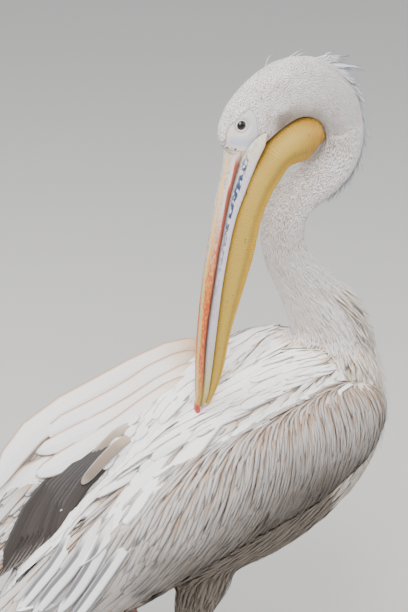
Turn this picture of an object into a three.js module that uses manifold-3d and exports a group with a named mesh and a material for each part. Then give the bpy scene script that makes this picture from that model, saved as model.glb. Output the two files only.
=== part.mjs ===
// A great white pelican, life size, standing on both feet and preening: its head is turned
// right round and its long bill rests on its own back.
// Millimetres, +Z up. The bird faces +X, its left side is +Y, and the floor is Z = 0.
// Every piece is a closed solid, and neighbours keep a gap of GAP between them.
import * as THREE from "three";
import { mergeVertices } from "three/addons/utils/BufferGeometryUtils.js";
import Module from "manifold-3d";

const wasm = await Module();
wasm.setup();

// Driving dimensions.
const GAP = 0.4; // between neighbouring pieces
const BODY_TILT = THREE.MathUtils.degToRad(25); // the trunk's axis rises this much to the front
const BODY_CENTRE = new THREE.Vector3(19, 0, 359); // on the trunk's axis, over the feet
const BILL_BASE = new THREE.Vector3(53, -8, 833); // on the mouth line, where the bill begins
const BILL_TIP = new THREE.Vector3(-27, -32, 464); // on the mouth line, 378 mm from its base
const CROWN_HEADING = THREE.MathUtils.degToRad(168); // where the top of the bill faces
const EYE = { along: -32.2, side: 16.8, up: 11.2, radius: 8 }; // in the head's frame
const SOLE = 3; // thickness of the webs underfoot

// Two frames: X along the part, Y to the bird's left, Z to its upper side.
const bodyX = new THREE.Vector3(Math.cos(BODY_TILT), 0, Math.sin(BODY_TILT));
const bodyY = new THREE.Vector3(0, 1, 0);
const bodyFrame = new THREE.Matrix4()
  .makeBasis(bodyX, bodyY, new THREE.Vector3().crossVectors(bodyX, bodyY))
  .setPosition(BODY_CENTRE);
const headX = new THREE.Vector3().subVectors(BILL_TIP, BILL_BASE).normalize();
const crownWay = new THREE.Vector3(Math.cos(CROWN_HEADING), Math.sin(CROWN_HEADING), 0);
const headZ = crownWay.addScaledVector(headX, -crownWay.dot(headX)).normalize();
const headY = new THREE.Vector3().crossVectors(headZ, headX);
const headFrame = new THREE.Matrix4().makeBasis(headX, headY, headZ).setPosition(BILL_BASE);

// A smooth curve through the rows of a table, one column at a time. The first column is the
// position along the part, and the rest are read back as a list.
function smoothTable(rows) {
  return (x) => {
    const last = rows.length - 2;
    const rising = rows[0][0] < rows[1][0];
    let i = rows.findIndex((row) => (rising ? row[0] > x : row[0] < x)) - 1;
    i = i < -1 ? last : Math.min(Math.max(i, 0), last);
    const [a, b] = [rows[i], rows[i + 1]];
    const before = rows[i - 1] ?? a;
    const after = rows[i + 2] ?? b;
    const span = b[0] - a[0];
    const t = THREE.MathUtils.clamp((x - a[0]) / span, 0, 1);
    const [t2, t3] = [t * t, t * t * t];
    return a.slice(1).map((from, k) => {
      const to = b[k + 1];
      const slopeIn = ((to - before[k + 1]) / (b[0] - before[0])) * span;
      const slopeOut = ((after[k + 1] - from) / (after[0] - a[0])) * span;
      return (
        from * (2 * t3 - 3 * t2 + 1) +
        slopeIn * (t3 - 2 * t2 + t) +
        to * (3 * t2 - 2 * t3) +
        slopeOut * (t3 - t2)
      );
    });
  };
}

// A closed solid through rings of points that all have the same number of points.
function skinRings(rings) {
  const around = rings[0].length;
  const points = rings.flat();
  const index = [];
  for (let i = 0; i + 1 < rings.length; i++) {
    for (let j = 0; j < around; j++) {
      const [a, b] = [i * around + j, i * around + ((j + 1) % around)];
      index.push(a, b, a + around, b, b + around, a + around);
    }
  }
  const cap = (ring, start, forward) => {
    const middle = ring.reduce((sum, p) => sum.add(p), new THREE.Vector3());
    points.push(middle.divideScalar(around));
    for (let j = 0; j < around; j++) {
      const edge = [start + ((j + 1) % around), start + j];
      index.push(points.length - 1, ...(forward ? edge : edge.reverse()));
    }
  };
  cap(rings[0], 0, true);
  cap(rings.at(-1), (rings.length - 1) * around, false);
  const geometry = new THREE.BufferGeometry().setFromPoints(points).setIndex(index);
  return solid(geometry);
}

// A three.js geometry as a solid that can be cut and joined, whichever way it was wound.
function solid(geometry) {
  const bare = geometry.clone();
  bare.deleteAttribute("normal");
  bare.deleteAttribute("uv");
  const merged = mergeVertices(bare, 1e-3);
  const vertProperties = new Float32Array(merged.attributes.position.array);
  const triVerts = new Uint32Array(merged.index.array);
  const made = new wasm.Manifold(new wasm.Mesh({ numProp: 3, vertProperties, triVerts }));
  if (made.volume() > 0) return made;
  for (let i = 0; i < triVerts.length; i += 3) {
    [triVerts[i], triVerts[i + 1]] = [triVerts[i + 1], triVerts[i]];
  }
  return new wasm.Manifold(new wasm.Mesh({ numProp: 3, vertProperties, triVerts }));
}

// The same solid swollen by a small amount all over, to cut a clearance round it.
function grown(made, by = GAP) {
  const { numProp, vertProperties, triVerts } = made.getMesh();
  const count = vertProperties.length / numProp;
  const normals = Array.from({ length: count }, () => new THREE.Vector3());
  const point = (i) => new THREE.Vector3().fromArray(vertProperties, i * numProp);
  const face = new THREE.Triangle();
  const normal = new THREE.Vector3();
  for (let i = 0; i < triVerts.length; i += 3) {
    const ids = [triVerts[i], triVerts[i + 1], triVerts[i + 2]];
    face.set(...ids.map(point));
    face.getNormal(normal).multiplyScalar(face.getArea());
    ids.forEach((id) => normals[id].add(normal));
  }
  const moved = normals.map((n, i) => point(i).addScaledVector(n.normalize(), by));
  const places = new Float32Array(moved.flatMap((p) => p.toArray()));
  return new wasm.Manifold(new wasm.Mesh({ numProp: 3, vertProperties: places, triVerts }));
}

// Only the largest body of a solid, without the slivers that a cut can leave.
function largest(made) {
  return made.decompose().sort((a, b) => b.volume() - a.volume())[0];
}

const power = (value, exponent) => Math.sign(value) * Math.abs(value) ** exponent;

// One ring of an oval section: half sizes to each side, up and down, and its squareness.
function ovalRing(frame, x, { middle, side, top, bottom, square = 2 }, around) {
  const bend = 2 / square;
  return Array.from({ length: around }, (_, j) => {
    const angle = (j / around) * Math.PI * 2;
    const [c, s] = [Math.cos(angle), Math.sin(angle)];
    const height = (c > 0 ? top : bottom) * power(c, bend);
    return new THREE.Vector3(x, side * power(s, bend), middle + height).applyMatrix4(frame);
  });
}

// A tube with oval sections. Each row is [x, y, z, radius in the bird's middle plane, radius
// across it], the points are joined by one smooth curve, and across(t) is the section's way out.
function limb(rows, { steps, around, across, from = 0, to = 1 }) {
  const line = new THREE.CatmullRomCurve3(rows.map((r) => new THREE.Vector3(r[0], r[1], r[2])));
  const sizes = new THREE.CatmullRomCurve3(rows.map((r) => new THREE.Vector3(r[3], r[4], 0)));
  const rings = Array.from({ length: steps + 1 }, (_, i) => {
    const t = from + ((to - from) * i) / steps;
    const along = line.getTangent(t);
    const out = across(t).clone();
    out.addScaledVector(along, -out.dot(along)).normalize();
    const inPlane = new THREE.Vector3().crossVectors(along, out);
    const size = sizes.getPoint(t);
    const centre = line.getPoint(t);
    return Array.from({ length: around }, (_, j) => {
      const angle = (j / around) * Math.PI * 2;
      return centre
        .clone()
        .addScaledVector(inPlane, size.x * Math.cos(angle))
        .addScaledVector(out, size.y * Math.sin(angle));
    });
  });
  return skinRings(rings);
}

// The trunk, with its breast and belly feathers: [along, middle, side, top, bottom].
const TRUNK_ROWS = [
  [290, 2, 6, 6, 6],
  [278, 0, 45, 44, 44],
  [255, -5, 78, 76, 80],
  [215, -14, 106, 100, 112],
  [160, -20, 126, 116, 132],
  [90, -22, 134, 122, 142],
  [10, -20, 136, 122, 140],
  [-70, -14, 130, 113, 124],
  [-150, -4, 112, 94, 98],
  [-230, 8, 86, 66, 68],
  [-300, 16, 60, 42, 42],
  [-345, 20, 36, 20, 20],
];

function trunkSolid() {
  const at = smoothTable(TRUNK_ROWS);
  const [front, rear] = [TRUNK_ROWS[0][0], TRUNK_ROWS.at(-1)[0]];
  const steps = 20;
  const rings = Array.from({ length: steps + 1 }, (_, i) => {
    // Closer rings at the breast, where the shape turns most.
    const x = front + (rear - front) * (i / steps) ** 1.35;
    const [middle, side, top, bottom] = at(x);
    return ovalRing(bodyFrame, x, { middle, side, top, bottom, square: 2.25 }, 18);
  });
  return skinRings(rings);
}

// The neck and head as one bent tube from the shoulders to the bill, parted by thin cuts.
const NECK_ROWS = [
  [226, 0, 470, 60, 66],
  [208, 0, 538, 53, 52],
  [184, 0, 580, 46, 43],
  [157, 0, 620, 38, 37],
  [137, 0, 652, 33, 33],
  [129, -2, 686, 32, 32],
  [134, -5, 724, 31, 31],
  [159, -7, 750, 32, 31],
  [190, -8, 768, 34, 31],
  [214, -8, 788, 33, 30],
  [224, -8, 814, 32, 30],
  [220, -8, 840, 34, 31],
  [206, -8, 869, 39, 33],
  [176, -8, 896, 42, 34],
  [135, -8, 903, 44, 34],
  [94, -8, 887, 43, 31],
  [63, -7.5, 861.5, 39.5, 27],
  [49, -7, 834, 30, 25],
  [41.7, -6.8, 822, 14, 22],
];
const NECK_PARTS = { neck_lower: [0, 0.274], neck_upper: [0.274, 0.604], head: [0.604, 1] };
const NECK_CUT = 0.0006; // of the whole tube's length parameter, about GAP

function neckSolid(part) {
  const [from, to] = NECK_PARTS[part];
  // The neck turns half round on its way, so its sides swap: the section only leans a little.
  const across = (t) => bodyY.clone().negate().lerp(headY, THREE.MathUtils.smoothstep(t, 0.567, 0.944));
  return limb(NECK_ROWS, {
    steps: Math.round(42 * (to - from)),
    around: 14,
    across,
    from: from + (from > 0 ? NECK_CUT : 0),
    to: to - (to < 1 ? NECK_CUT : 0),
  });
}

// The folded wings, wrapped over the trunk's sides. Each row is the position along the trunk,
// then distance from the middle plane and height of four points of the outer surface (inner
// edge, shoulder, outermost point and lower edge), then the thickness.
const SHARED_WING_ROWS = [
  [232, 116, 22, 126, 24, 132, 12, 124, -2, 14],
  [208, 103, 52, 139, 48, 156, 10, 136, -32, 40],
  [160, 102, 75, 144, 62, 163, 8, 146, -52, 46],
];
const WING_ROWS = {
  right: [
    ...SHARED_WING_ROWS,
    [50, 96, 97, 146, 78, 171, 12, 160, -48, 42],
    [-50, 64, 102, 130, 85, 164, 20, 158, -30, 34],
    [-150, 26, 92, 100, 79, 144, 28, 144, -24, 24],
    [-250, 13, 72, 74, 62, 110, 24, 116, -27, 18],
    [-370, 8, 50, 40, 44, 61, 18, 66, -14, 11],
    [-470, 8, 30, 15, 29, 20, 20, 20, 12, 6],
  ],
  // Loosened and lifted, so that its long inner feathers stand off the back.
  left: [
    ...SHARED_WING_ROWS,
    [50, 84, 104, 141, 98, 173, 30, 162, -38, 50],
    [-50, 58, 110, 129, 136, 170, 66, 165, -20, 58],
    [-150, 42, 100, 120, 146, 156, 84, 156, -4, 50],
    [-250, 36, 80, 102, 122, 129, 78, 132, 0, 36],
    [-370, 20, 56, 56, 76, 72, 54, 73, 14, 20],
    [-470, 10, 36, 18, 38, 24, 34, 25, 28, 8],
  ],
};

function wingSolid(rows, side) {
  const at = smoothTable(rows);
  const [front, rear] = [rows[0][0], rows.at(-1)[0]];
  const [steps, across] = [15, 6];
  const rings = Array.from({ length: steps + 1 }, (_, i) => {
    const x = front + (rear - front) * (i / steps) ** 1.3;
    const p = at(x);
    const thickness = p[8];
    const corners = [0, 2, 4, 6].map((k) => new THREE.Vector3(0, side * p[k], p[k + 1]));
    const outline = new THREE.CatmullRomCurve3(corners, false, "centripetal");
    const place = (t, depth) => {
      const tangent = outline.getTangent(t);
      const inward = new THREE.Vector3(0, side * tangent.z, -side * tangent.y).normalize();
      const point = outline.getPoint(t).addScaledVector(inward, depth);
      return new THREE.Vector3(x, point.y, point.z).applyMatrix4(bodyFrame);
    };
    const outer = Array.from({ length: across + 1 }, (_, j) => place(j / across, 0));
    const inner = Array.from({ length: across + 1 }, (_, j) => {
      const t = 1 - j / across;
      return place(t, thickness * (0.25 + 0.75 * (4 * t * (1 - t)) ** 0.5));
    });
    return [...outer, ...inner];
  });
  return skinRings(rings);
}

// The long shoulder feathers that lie between the wing and the middle of the back:
// [along, inner edge, its height, outer edge, its height].
const SCAPULAR_ROWS = {
  right: [
    [205, 56, 88, 96, 62],
    [170, 26, 105, 100, 82],
    [110, 8, 112, 102, 96],
    [40, 6, 113, 96, 103],
    [-30, 6, 110, 76, 107],
    [-100, 6, 101, 46, 103],
    [-170, 6, 88, 30, 90],
    [-235, 8, 72, 20, 74],
  ],
  left: [
    [205, 56, 88, 96, 62],
    [170, 26, 105, 100, 82],
    [110, 8, 112, 102, 98],
    [40, 6, 113, 88, 112],
    [-30, 6, 110, 66, 116],
    [-100, 6, 101, 50, 112],
    [-170, 6, 90, 42, 100],
    [-235, 8, 76, 30, 84],
  ],
};
const SCAPULAR_DEPTH = 24; // deep enough to reach the trunk everywhere

function scapularSolid(rows, side) {
  const at = smoothTable(rows);
  const [front, rear] = [rows[0][0], rows.at(-1)[0]];
  const [steps, across] = [10, 3];
  const rings = Array.from({ length: steps + 1 }, (_, i) => {
    const x = front + ((rear - front) * i) / steps;
    const [inner, innerTop, outer, outerTop] = at(x);
    const taper = Math.min(1, 0.3 + 3 * Math.min(i / steps, 1 - i / steps));
    const place = (t, depth) => {
      const crown = 6 * 4 * t * (1 - t);
      const y = side * THREE.MathUtils.lerp(inner, outer, t);
      const z = THREE.MathUtils.lerp(innerTop, outerTop, t) + crown - depth * taper;
      return new THREE.Vector3(x, y, z).applyMatrix4(bodyFrame);
    };
    const top = Array.from({ length: across + 1 }, (_, j) => place(j / across, 0));
    const under = Array.from({ length: across + 1 }, (_, j) => {
      return place(1 - j / across, SCAPULAR_DEPTH);
    });
    return [...top, ...under];
  });
  return skinRings(rings);
}

// The short, broad tail: [along, middle, half width, half thickness].
const TAIL_ROWS = [
  [-320, 16, 34, 16],
  [-360, 14, 50, 13],
  [-410, 8, 66, 9],
  [-460, 0, 76, 6],
  [-492, -6, 74, 3.5],
  [-502, -8, 60, 2],
];

function tailSolid() {
  const at = smoothTable(TAIL_ROWS);
  const [front, rear] = [TAIL_ROWS[0][0], TAIL_ROWS.at(-1)[0]];
  const steps = 7;
  const rings = Array.from({ length: steps + 1 }, (_, i) => {
    const x = front + ((rear - front) * i) / steps;
    const [middle, side, half] = at(x);
    return ovalRing(bodyFrame, x, { middle, side, top: half, bottom: half, square: 2.6 }, 12);
  });
  return skinRings(rings);
}

// The upper half of the bill: [along, half width, height of the ridge, height of the mouth edge].
const UPPER_BILL_ROWS = [
  [8, 23.6, 22.8, 4.6],
  [20, 23.5, 21.8, 5.8],
  [60, 22.5, 21.8, 10.4],
  [100, 21.8, 24, 12.8],
  [150, 21, 24.6, 14],
  [200, 20.5, 24.2, 14.2],
  [250, 19.6, 20.6, 13.6],
  [290, 18.8, 16.8, 11.4],
  [325, 17, 13.2, 7.6],
  [345, 15, 11, 5.4],
  [356, 13, 9.8, 4.2],
  [368, 8, 8.4, 3.2],
];
function upperBillSolid() {
  const at = smoothTable(UPPER_BILL_ROWS);
  const [from, to] = [UPPER_BILL_ROWS[0][0], UPPER_BILL_ROWS.at(-1)[0]];
  const steps = 12;
  const rings = Array.from({ length: steps + 1 }, (_, i) => {
    const x = from + ((to - from) * i) / steps;
    const [half, ridge, edge] = at(x);
    const under = Array.from({ length: 2 }, (_, j) => [half * (0.9 - 1.8 * j), edge]);
    const over = Array.from({ length: 9 }, (_, j) => {
      const across = -1 + (2 * j) / 8;
      const flank = (1 - Math.abs(across) ** 2.4) ** 0.55;
      const keel = 0.28 * Math.exp(-((across / 0.22) ** 2));
      return [across * half, edge + 1 + (ridge - edge - 1) * (0.72 * flank + keel)];
    });
    return [...under, ...over].map(([y, z]) => {
      return new THREE.Vector3(x, y, z).applyMatrix4(headFrame);
    });
  });
  return skinRings(rings);
}

// The hooked nail that ends the upper half.
function nailSolid() {
  const rows = [
    [368.4, 5.4, 8.2, 3.4],
    [375, 4.8, 6.6, 3.6],
    [381.5, 2.2, 4.8, 3.4],
    [385, -2.4, 3.4, 2.6],
    [385.6, -7.4, 1.8, 1.6],
  ];
  const line = rows.map(([x, z, side, half]) => {
    const p = new THREE.Vector3(x, 0, z).applyMatrix4(headFrame);
    return [p.x, p.y, p.z, half, side];
  });
  return limb(line, { steps: 6, around: 8, across: () => headY });
}

// The lower half of the bill: [along, half width, top, bottom].
const LOWER_BILL_ROWS = [
  [-24, 25, -17, -31],
  [-8, 25.2, -3, -31.5],
  [10, 24.6, 3, -26],
  [20, 24.2, 5, -23],
  [60, 22.9, 9.6, -13],
  [100, 21.8, 12, -4.6],
  [150, 20.8, 13.2, -1],
  [200, 20, 13.4, -0.4],
  [250, 19, 12.8, -2.2],
  [290, 17.9, 10.6, -3.8],
  [325, 15.5, 6.8, -5.2],
  [345, 12.6, 4.6, -5.8],
  [356, 10.6, 3.4, -5.4],
  [371, 5, 1.6, -3.6],
];
function lowerBillSolid() {
  const at = smoothTable(LOWER_BILL_ROWS);
  const [from, to] = [LOWER_BILL_ROWS[0][0], LOWER_BILL_ROWS.at(-1)[0]];
  const steps = 14;
  const rings = Array.from({ length: steps + 1 }, (_, i) => {
    const x = from + ((to - from) * i) / steps;
    const [half, top, bottom] = at(x);
    const middle = (top + bottom) / 2;
    const tall = (top - bottom) / 2;
    return ovalRing(headFrame, x, { middle, side: half, top: tall, bottom: tall, square: 3.4 }, 12);
  });
  return skinRings(rings);
}

// The throat pouch, from its swollen root on the foreneck to the tip of the bill:
// [along the bill, height, radius in the middle plane, radius across, place to the left].
const POUCH_ROWS = [
  [-17, -137, 5, 6, -31],
  [-20, -124, 15, 18, -24],
  [-21, -115, 25, 25, -20],
  [-20, -104, 29, 29, -15],
  [-16, -90, 31, 31, -9],
  [-8, -72.5, 30, 32, -4],
  [8, -56.5, 26.5, 30, -1],
  [36, -42.5, 25, 25.5, 0],
  [54, -34.5, 23, 24, 0],
  [93, -25.7, 21.7, 22, 0],
  [150, -21.5, 22, 20, 0],
  [199, -17.7, 18.4, 18.6, 0],
  [259, -14.2, 13.2, 16.6, 0],
  [316, -14, 10.4, 13.4, 0],
  [350, -11.2, 7, 8.6, 0],
  [367, -8.2, 3.6, 4.4, 0],
];
function pouchSolid() {
  const rows = POUCH_ROWS.map(([x, z, inPlane, side, left]) => {
    const p = new THREE.Vector3(x, left, z).applyMatrix4(headFrame);
    return [p.x, p.y, p.z, inPlane, side];
  });
  return limb(rows, { steps: 16, around: 12, across: () => headY });
}

// The wispy crest that lifts off the back of the crown.
function crestSolid() {
  const rows = [
    [128, -8, 938, 4, 15],
    [160, -8, 941, 5, 16],
    [198, -8, 936, 5, 13],
    [236, -9, 926, 4, 9],
    [268, -10, 912, 1.5, 3],
  ];
  return limb(rows, { steps: 8, around: 8, across: () => bodyY });
}

// A leg: the feathered thigh, the bare scaly shank, and the foot with four webbed toes.
const THIGH_ROWS = [
  [-14, 50, 305, 40, 36],
  [-32, 62, 252, 46, 42],
  [-50, 69, 205, 38, 36],
  [-68, 71, 168, 25, 25],
  [-80, 72, 148, 15, 15],
];
const SHANK_ROWS = [
  [-82, 72, 146, 11, 11],
  [-90, 72, 132, 14.5, 12.5],
  [-88, 72, 116, 12, 10.5],
  [-67, 72, 80, 10, 8.5],
  [-42, 72, 40, 10.5, 9.5],
  [-29, 72, 18, 12, 11],
];
const ANKLE = { x: -26, y: 72 }; // where the toes meet
const TOES = [
  // Length, heading away from straight ahead (outward is positive), and joint thickness.
  { name: "outer", length: 112, heading: 32, thick: 6.2 },
  { name: "middle", length: 121, heading: 6, thick: 6.6 },
  { name: "inner", length: 95, heading: -23, thick: 6 },
  { name: "hind", length: 52, heading: -78, thick: 5 },
];

function toePoint(toe, share, side) {
  const heading = THREE.MathUtils.degToRad(toe.heading);
  const reach = toe.length * share;
  const x = ANKLE.x + reach * Math.cos(heading);
  return new THREE.Vector3(x, side * (ANKLE.y + reach * Math.sin(heading)), 0);
}

function legLine(rows, side) {
  return rows.map(([x, y, z, inPlane, across]) => [x, side * y, z, inPlane, across]);
}

// A toe lies on the floor: its lower half is cut away by a flat at the sole's level.
function toeSolid(toe, side) {
  const joints = [
    [0, 13, 1.4],
    [0.3, 8, 1.05],
    [0.62, 6.5, 0.95],
    [0.86, 5.5, 0.9],
    [0.97, 4, 0.65],
  ];
  const rows = joints.map(([share, height, fat]) => {
    const p = toePoint(toe, share, side);
    const z = Math.min(height, toe.thick * fat);
    return [p.x, p.y, z, toe.thick * fat, toe.thick * fat * 0.95];
  });
  const out = new THREE.Vector3(0, 0, 1).cross(toePoint(toe, 1, side).sub(toePoint(toe, 0, side)));
  return limb(rows, { steps: 5, around: 6, across: () => out.clone().normalize() });
}

// The web: one flat sheet whose front edge curves back between the toes.
function webSolid(side) {
  const outline = new THREE.Shape();
  const start = toePoint(TOES[1], -0.06, side);
  outline.moveTo(start.x, start.y);
  TOES.forEach((toe, i) => {
    const tip = toePoint(toe, 0.93, side);
    outline.lineTo(tip.x, tip.y);
    const next = TOES[i + 1];
    if (!next) return;
    const dip = toePoint(toe, 0.72, side).lerp(toePoint(next, 0.74, side), 0.5);
    const nextTip = toePoint(next, 0.93, side);
    outline.quadraticCurveTo(dip.x, dip.y, nextTip.x, nextTip.y);
  });
  outline.lineTo(start.x, start.y);
  const sheet = { depth: SOLE, bevelEnabled: false, curveSegments: 4 };
  return solid(new THREE.ExtrudeGeometry(outline, sheet));
}

function footSolid(side) {
  const pad = new THREE.SphereGeometry(13, 10, 6).translate(ANKLE.x, side * ANKLE.y, 8);
  let foot = webSolid(side).add(solid(pad));
  for (const toe of TOES) foot = foot.add(toeSolid(toe, side));
  const below = new THREE.BoxGeometry(400, 400, 60).translate(ANKLE.x, side * ANKLE.y, -30);
  return foot.subtract(solid(below));
}

function clawSolid(toe, side) {
  const rows = [
    [0.93, 4, 3.2, 2.6],
    [1, 4.6, 2.8, 2.2],
    [1.07, 3.4, 1.8, 1.4],
    [1.11, 1.6, 0.9, 0.8],
  ].map(([share, z, high, wide]) => {
    const p = toePoint(toe, share, side);
    return [p.x, p.y, z, high, wide];
  });
  const out = new THREE.Vector3(0, 0, 1).cross(toePoint(toe, 1, side).sub(toePoint(toe, 0, side)));
  return limb(rows, { steps: 3, around: 6, across: () => out.clone().normalize() });
}

function eyeSolid(side) {
  const ball = new THREE.SphereGeometry(EYE.radius, 10, 7);
  const centre = new THREE.Vector3(EYE.along, side * EYE.side, EYE.up).applyMatrix4(headFrame);
  return solid(ball.translate(centre.x, centre.y, centre.z));
}

// Colours, as each surface looks in daylight.
const MATERIALS = {
  plumage: { color: 0xe9e4df, roughness: 0.85, metalness: 0 },
  flight: { color: 0xd5d3d2, roughness: 0.7, metalness: 0 },
  horn: { color: 0xd9c2a6, roughness: 0.45, metalness: 0 },
  nail: { color: 0xb8322a, roughness: 0.4, metalness: 0 },
  mandible: { color: 0xc9c0cc, roughness: 0.45, metalness: 0 },
  pouch: { color: 0xd2a640, roughness: 0.55, metalness: 0 },
  eye: { color: 0x1b0f16, roughness: 0.1, metalness: 0 },
  leg: { color: 0xa4585a, roughness: 0.6, metalness: 0 },
  claw: { color: 0x5a4a42, roughness: 0.5, metalness: 0 },
};

const bird = new THREE.Group();

function addPiece(name, finish, made) {
  const { numProp, vertProperties, triVerts } = largest(made).getMesh();
  const places = new Float32Array((vertProperties.length / numProp) * 3);
  for (let i = 0; i < places.length / 3; i++) {
    places.set(vertProperties.subarray(i * numProp, i * numProp + 3), i * 3);
  }
  const geometry = new THREE.BufferGeometry()
    .setAttribute("position", new THREE.BufferAttribute(places, 3))
    .setIndex(new THREE.BufferAttribute(triVerts, 1));
  geometry.computeVertexNormals();
  const material = new THREE.MeshStandardMaterial(MATERIALS[finish]);
  const mesh = new THREE.Mesh(geometry, material);
  mesh.name = name;
  bird.add(mesh);
}

const sides = { left: 1, right: -1 };

function buildBody() {
  const trunk = trunkSolid();
  const trunkHole = grown(trunk);
  const neckRoot = neckSolid("neck_lower").subtract(trunkHole);
  const keepClear = trunkHole.add(grown(neckSolid("neck_lower")));
  const billTip = grown(nailSolid()).add(grown(upperBillSolid())).add(grown(lowerBillSolid()));
  addPiece("trunk", "plumage", trunk);
  addPiece("neck_lower", "plumage", neckRoot);
  let tail = tailSolid().subtract(trunkHole);
  for (const [name, side] of Object.entries(sides)) {
    const wing = wingSolid(WING_ROWS[name], side);
    const pad = scapularSolid(SCAPULAR_ROWS[name], side).subtract(keepClear);
    addPiece("scapulars_" + name, "plumage", pad.subtract(grown(wing)).subtract(billTip));
    addPiece("wing_" + name, "plumage", wing.subtract(keepClear));
    tail = tail.subtract(grown(wing));
  }
  addPiece("tail", "flight", tail);
}

function buildHead() {
  const throat = grown(pouchSolid());
  const upper = upperBillSolid();
  const lower = lowerBillSolid();
  addPiece("neck_upper", "plumage", neckSolid("neck_upper").subtract(throat));
  let skull = neckSolid("head").subtract(throat).subtract(grown(upper)).subtract(grown(lower));
  for (const [name, side] of Object.entries(sides)) {
    skull = skull.subtract(grown(eyeSolid(side)));
    addPiece("eye_" + name, "eye", eyeSolid(side));
  }
  addPiece("head", "plumage", skull);
  addPiece("bill_upper", "horn", upper);
  addPiece("bill_nail", "nail", nailSolid());
  addPiece("bill_lower", "mandible", lower);
  addPiece("pouch", "pouch", pouchSolid().subtract(grown(lower)));
  addPiece("crest", "plumage", crestSolid().subtract(grown(neckSolid("head"))));
}

function buildLegs() {
  const trunkHole = grown(trunkSolid());
  for (const [name, side] of Object.entries(sides)) {
    const limbShape = { around: 10, across: () => bodyY };
    const thigh = limb(legLine(THIGH_ROWS, side), { steps: 7, ...limbShape });
    const shank = limb(legLine(SHANK_ROWS, side), { steps: 8, ...limbShape });
    const foot = footSolid(side);
    addPiece("thigh_" + name, "plumage", thigh.subtract(trunkHole));
    addPiece("shank_" + name, "leg", shank.subtract(grown(thigh)).subtract(grown(foot)));
    addPiece("foot_" + name, "leg", foot);
    for (const toe of TOES) {
      const claw = clawSolid(toe, side).subtract(grown(foot));
      addPiece(`claw_${name}_${toe.name}`, "claw", claw);
    }
  }
}

buildBody();
buildHead();
buildLegs();

// The part's origin is on the floor, under the middle of the whole bird.
const bounds = new THREE.Box3().setFromObject(bird, true);
const middle = bounds.getCenter(new THREE.Vector3());
bird.position.set(-middle.x, -middle.y, -bounds.min.z);

export default bird;
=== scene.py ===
# %% [markdown]
# # A great white pelican, feather by feather
#
# A pelican stands and preens: its head is turned right round and the long bill rests on its own
# back. What we see of the real bird is one skin under a coat of feathers, with the bare parts,
# which are the bill, the pouch, the face, the eyes and the legs, showing their own horn and hide.
# So we make it in that order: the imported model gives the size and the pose, then come the bare
# parts, then the skin, and the feathers are laid over it last.

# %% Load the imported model
import math

import bmesh
import bpy
import numpy as np
from mathutils import Matrix, Vector
from mathutils.bvhtree import BVHTree
from mathutils.kdtree import KDTree


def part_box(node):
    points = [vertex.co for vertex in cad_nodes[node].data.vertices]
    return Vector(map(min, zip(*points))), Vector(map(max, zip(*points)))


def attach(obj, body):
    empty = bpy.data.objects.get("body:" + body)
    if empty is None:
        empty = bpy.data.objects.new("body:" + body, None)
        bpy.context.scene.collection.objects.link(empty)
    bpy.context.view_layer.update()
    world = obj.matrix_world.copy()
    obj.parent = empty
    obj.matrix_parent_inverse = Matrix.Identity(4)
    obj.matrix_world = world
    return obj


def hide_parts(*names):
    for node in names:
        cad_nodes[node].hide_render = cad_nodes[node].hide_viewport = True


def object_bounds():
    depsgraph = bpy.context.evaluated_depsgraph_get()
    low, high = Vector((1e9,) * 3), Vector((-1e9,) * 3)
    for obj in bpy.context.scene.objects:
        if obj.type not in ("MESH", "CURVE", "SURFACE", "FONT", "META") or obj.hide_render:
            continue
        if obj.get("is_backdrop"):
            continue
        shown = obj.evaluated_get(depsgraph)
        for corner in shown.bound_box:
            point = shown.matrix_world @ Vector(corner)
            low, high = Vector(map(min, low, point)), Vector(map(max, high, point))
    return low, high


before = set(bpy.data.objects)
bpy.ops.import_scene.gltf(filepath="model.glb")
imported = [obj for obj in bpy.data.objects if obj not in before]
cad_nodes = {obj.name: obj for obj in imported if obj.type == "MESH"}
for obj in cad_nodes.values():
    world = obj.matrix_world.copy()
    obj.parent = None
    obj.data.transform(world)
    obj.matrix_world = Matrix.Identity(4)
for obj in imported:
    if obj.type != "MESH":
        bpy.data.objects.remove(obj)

cad_low, cad_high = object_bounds()
bpy.ops.object.select_all(action="DESELECT")
print("packed model:", len(cad_nodes), "nodes,", [round(x, 3) for x in cad_high - cad_low])

# %% [markdown]
# A shader works with linear light, but colours are easiest to choose as the hex codes of a
# screen, so one function turns them round. Another adds a node with its settings and links. A
# finish is painted in layers, as on a model: each layer is a colour and the shares that say
# where it goes, which are multiplied. Two functions build those chains of nodes.

# %% Colours and shader nodes
MM = 0.001  # one millimetre, as Blender counts in metres
MIX_A, MIX_B, MIX_OUT = 6, 7, 2  # the colour sockets of a Mix node
LINEAR = "LINEAR"  # a range that runs evenly, not softly, from its low to its high end


def linear(hex_code):
    """An sRGB colour such as 0xE9E4DF as the linear numbers that a shader works with."""
    parts = [((hex_code >> shift) & 255) / 255 for shift in (16, 8, 0)]
    return [p / 12.92 if p <= 0.04045 else ((p + 0.055) / 1.055) ** 2.4 for p in parts] + [1]


def add_node(tree, kind, settings=None, inputs=None, stops=None, out=0):
    """Adds a shader node and gives one of its outputs. An input is a value or such an output."""
    made = tree.nodes.new("ShaderNode" + kind)
    for name, value in (settings or {}).items():
        setattr(made, name, value)
    for name, value in (inputs or {}).items():
        if isinstance(value, bpy.types.NodeSocket):
            tree.links.new(value, made.inputs[name])
        else:
            made.inputs[name].default_value = value
    if stops:
        ramp = made.color_ramp.elements
        while len(ramp) < len(stops):
            ramp.new(0.5)
        for element, (place, colour) in zip(ramp, sorted(stops)):
            element.position = place
            element.color = linear(colour)
    return made.outputs[out]


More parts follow.
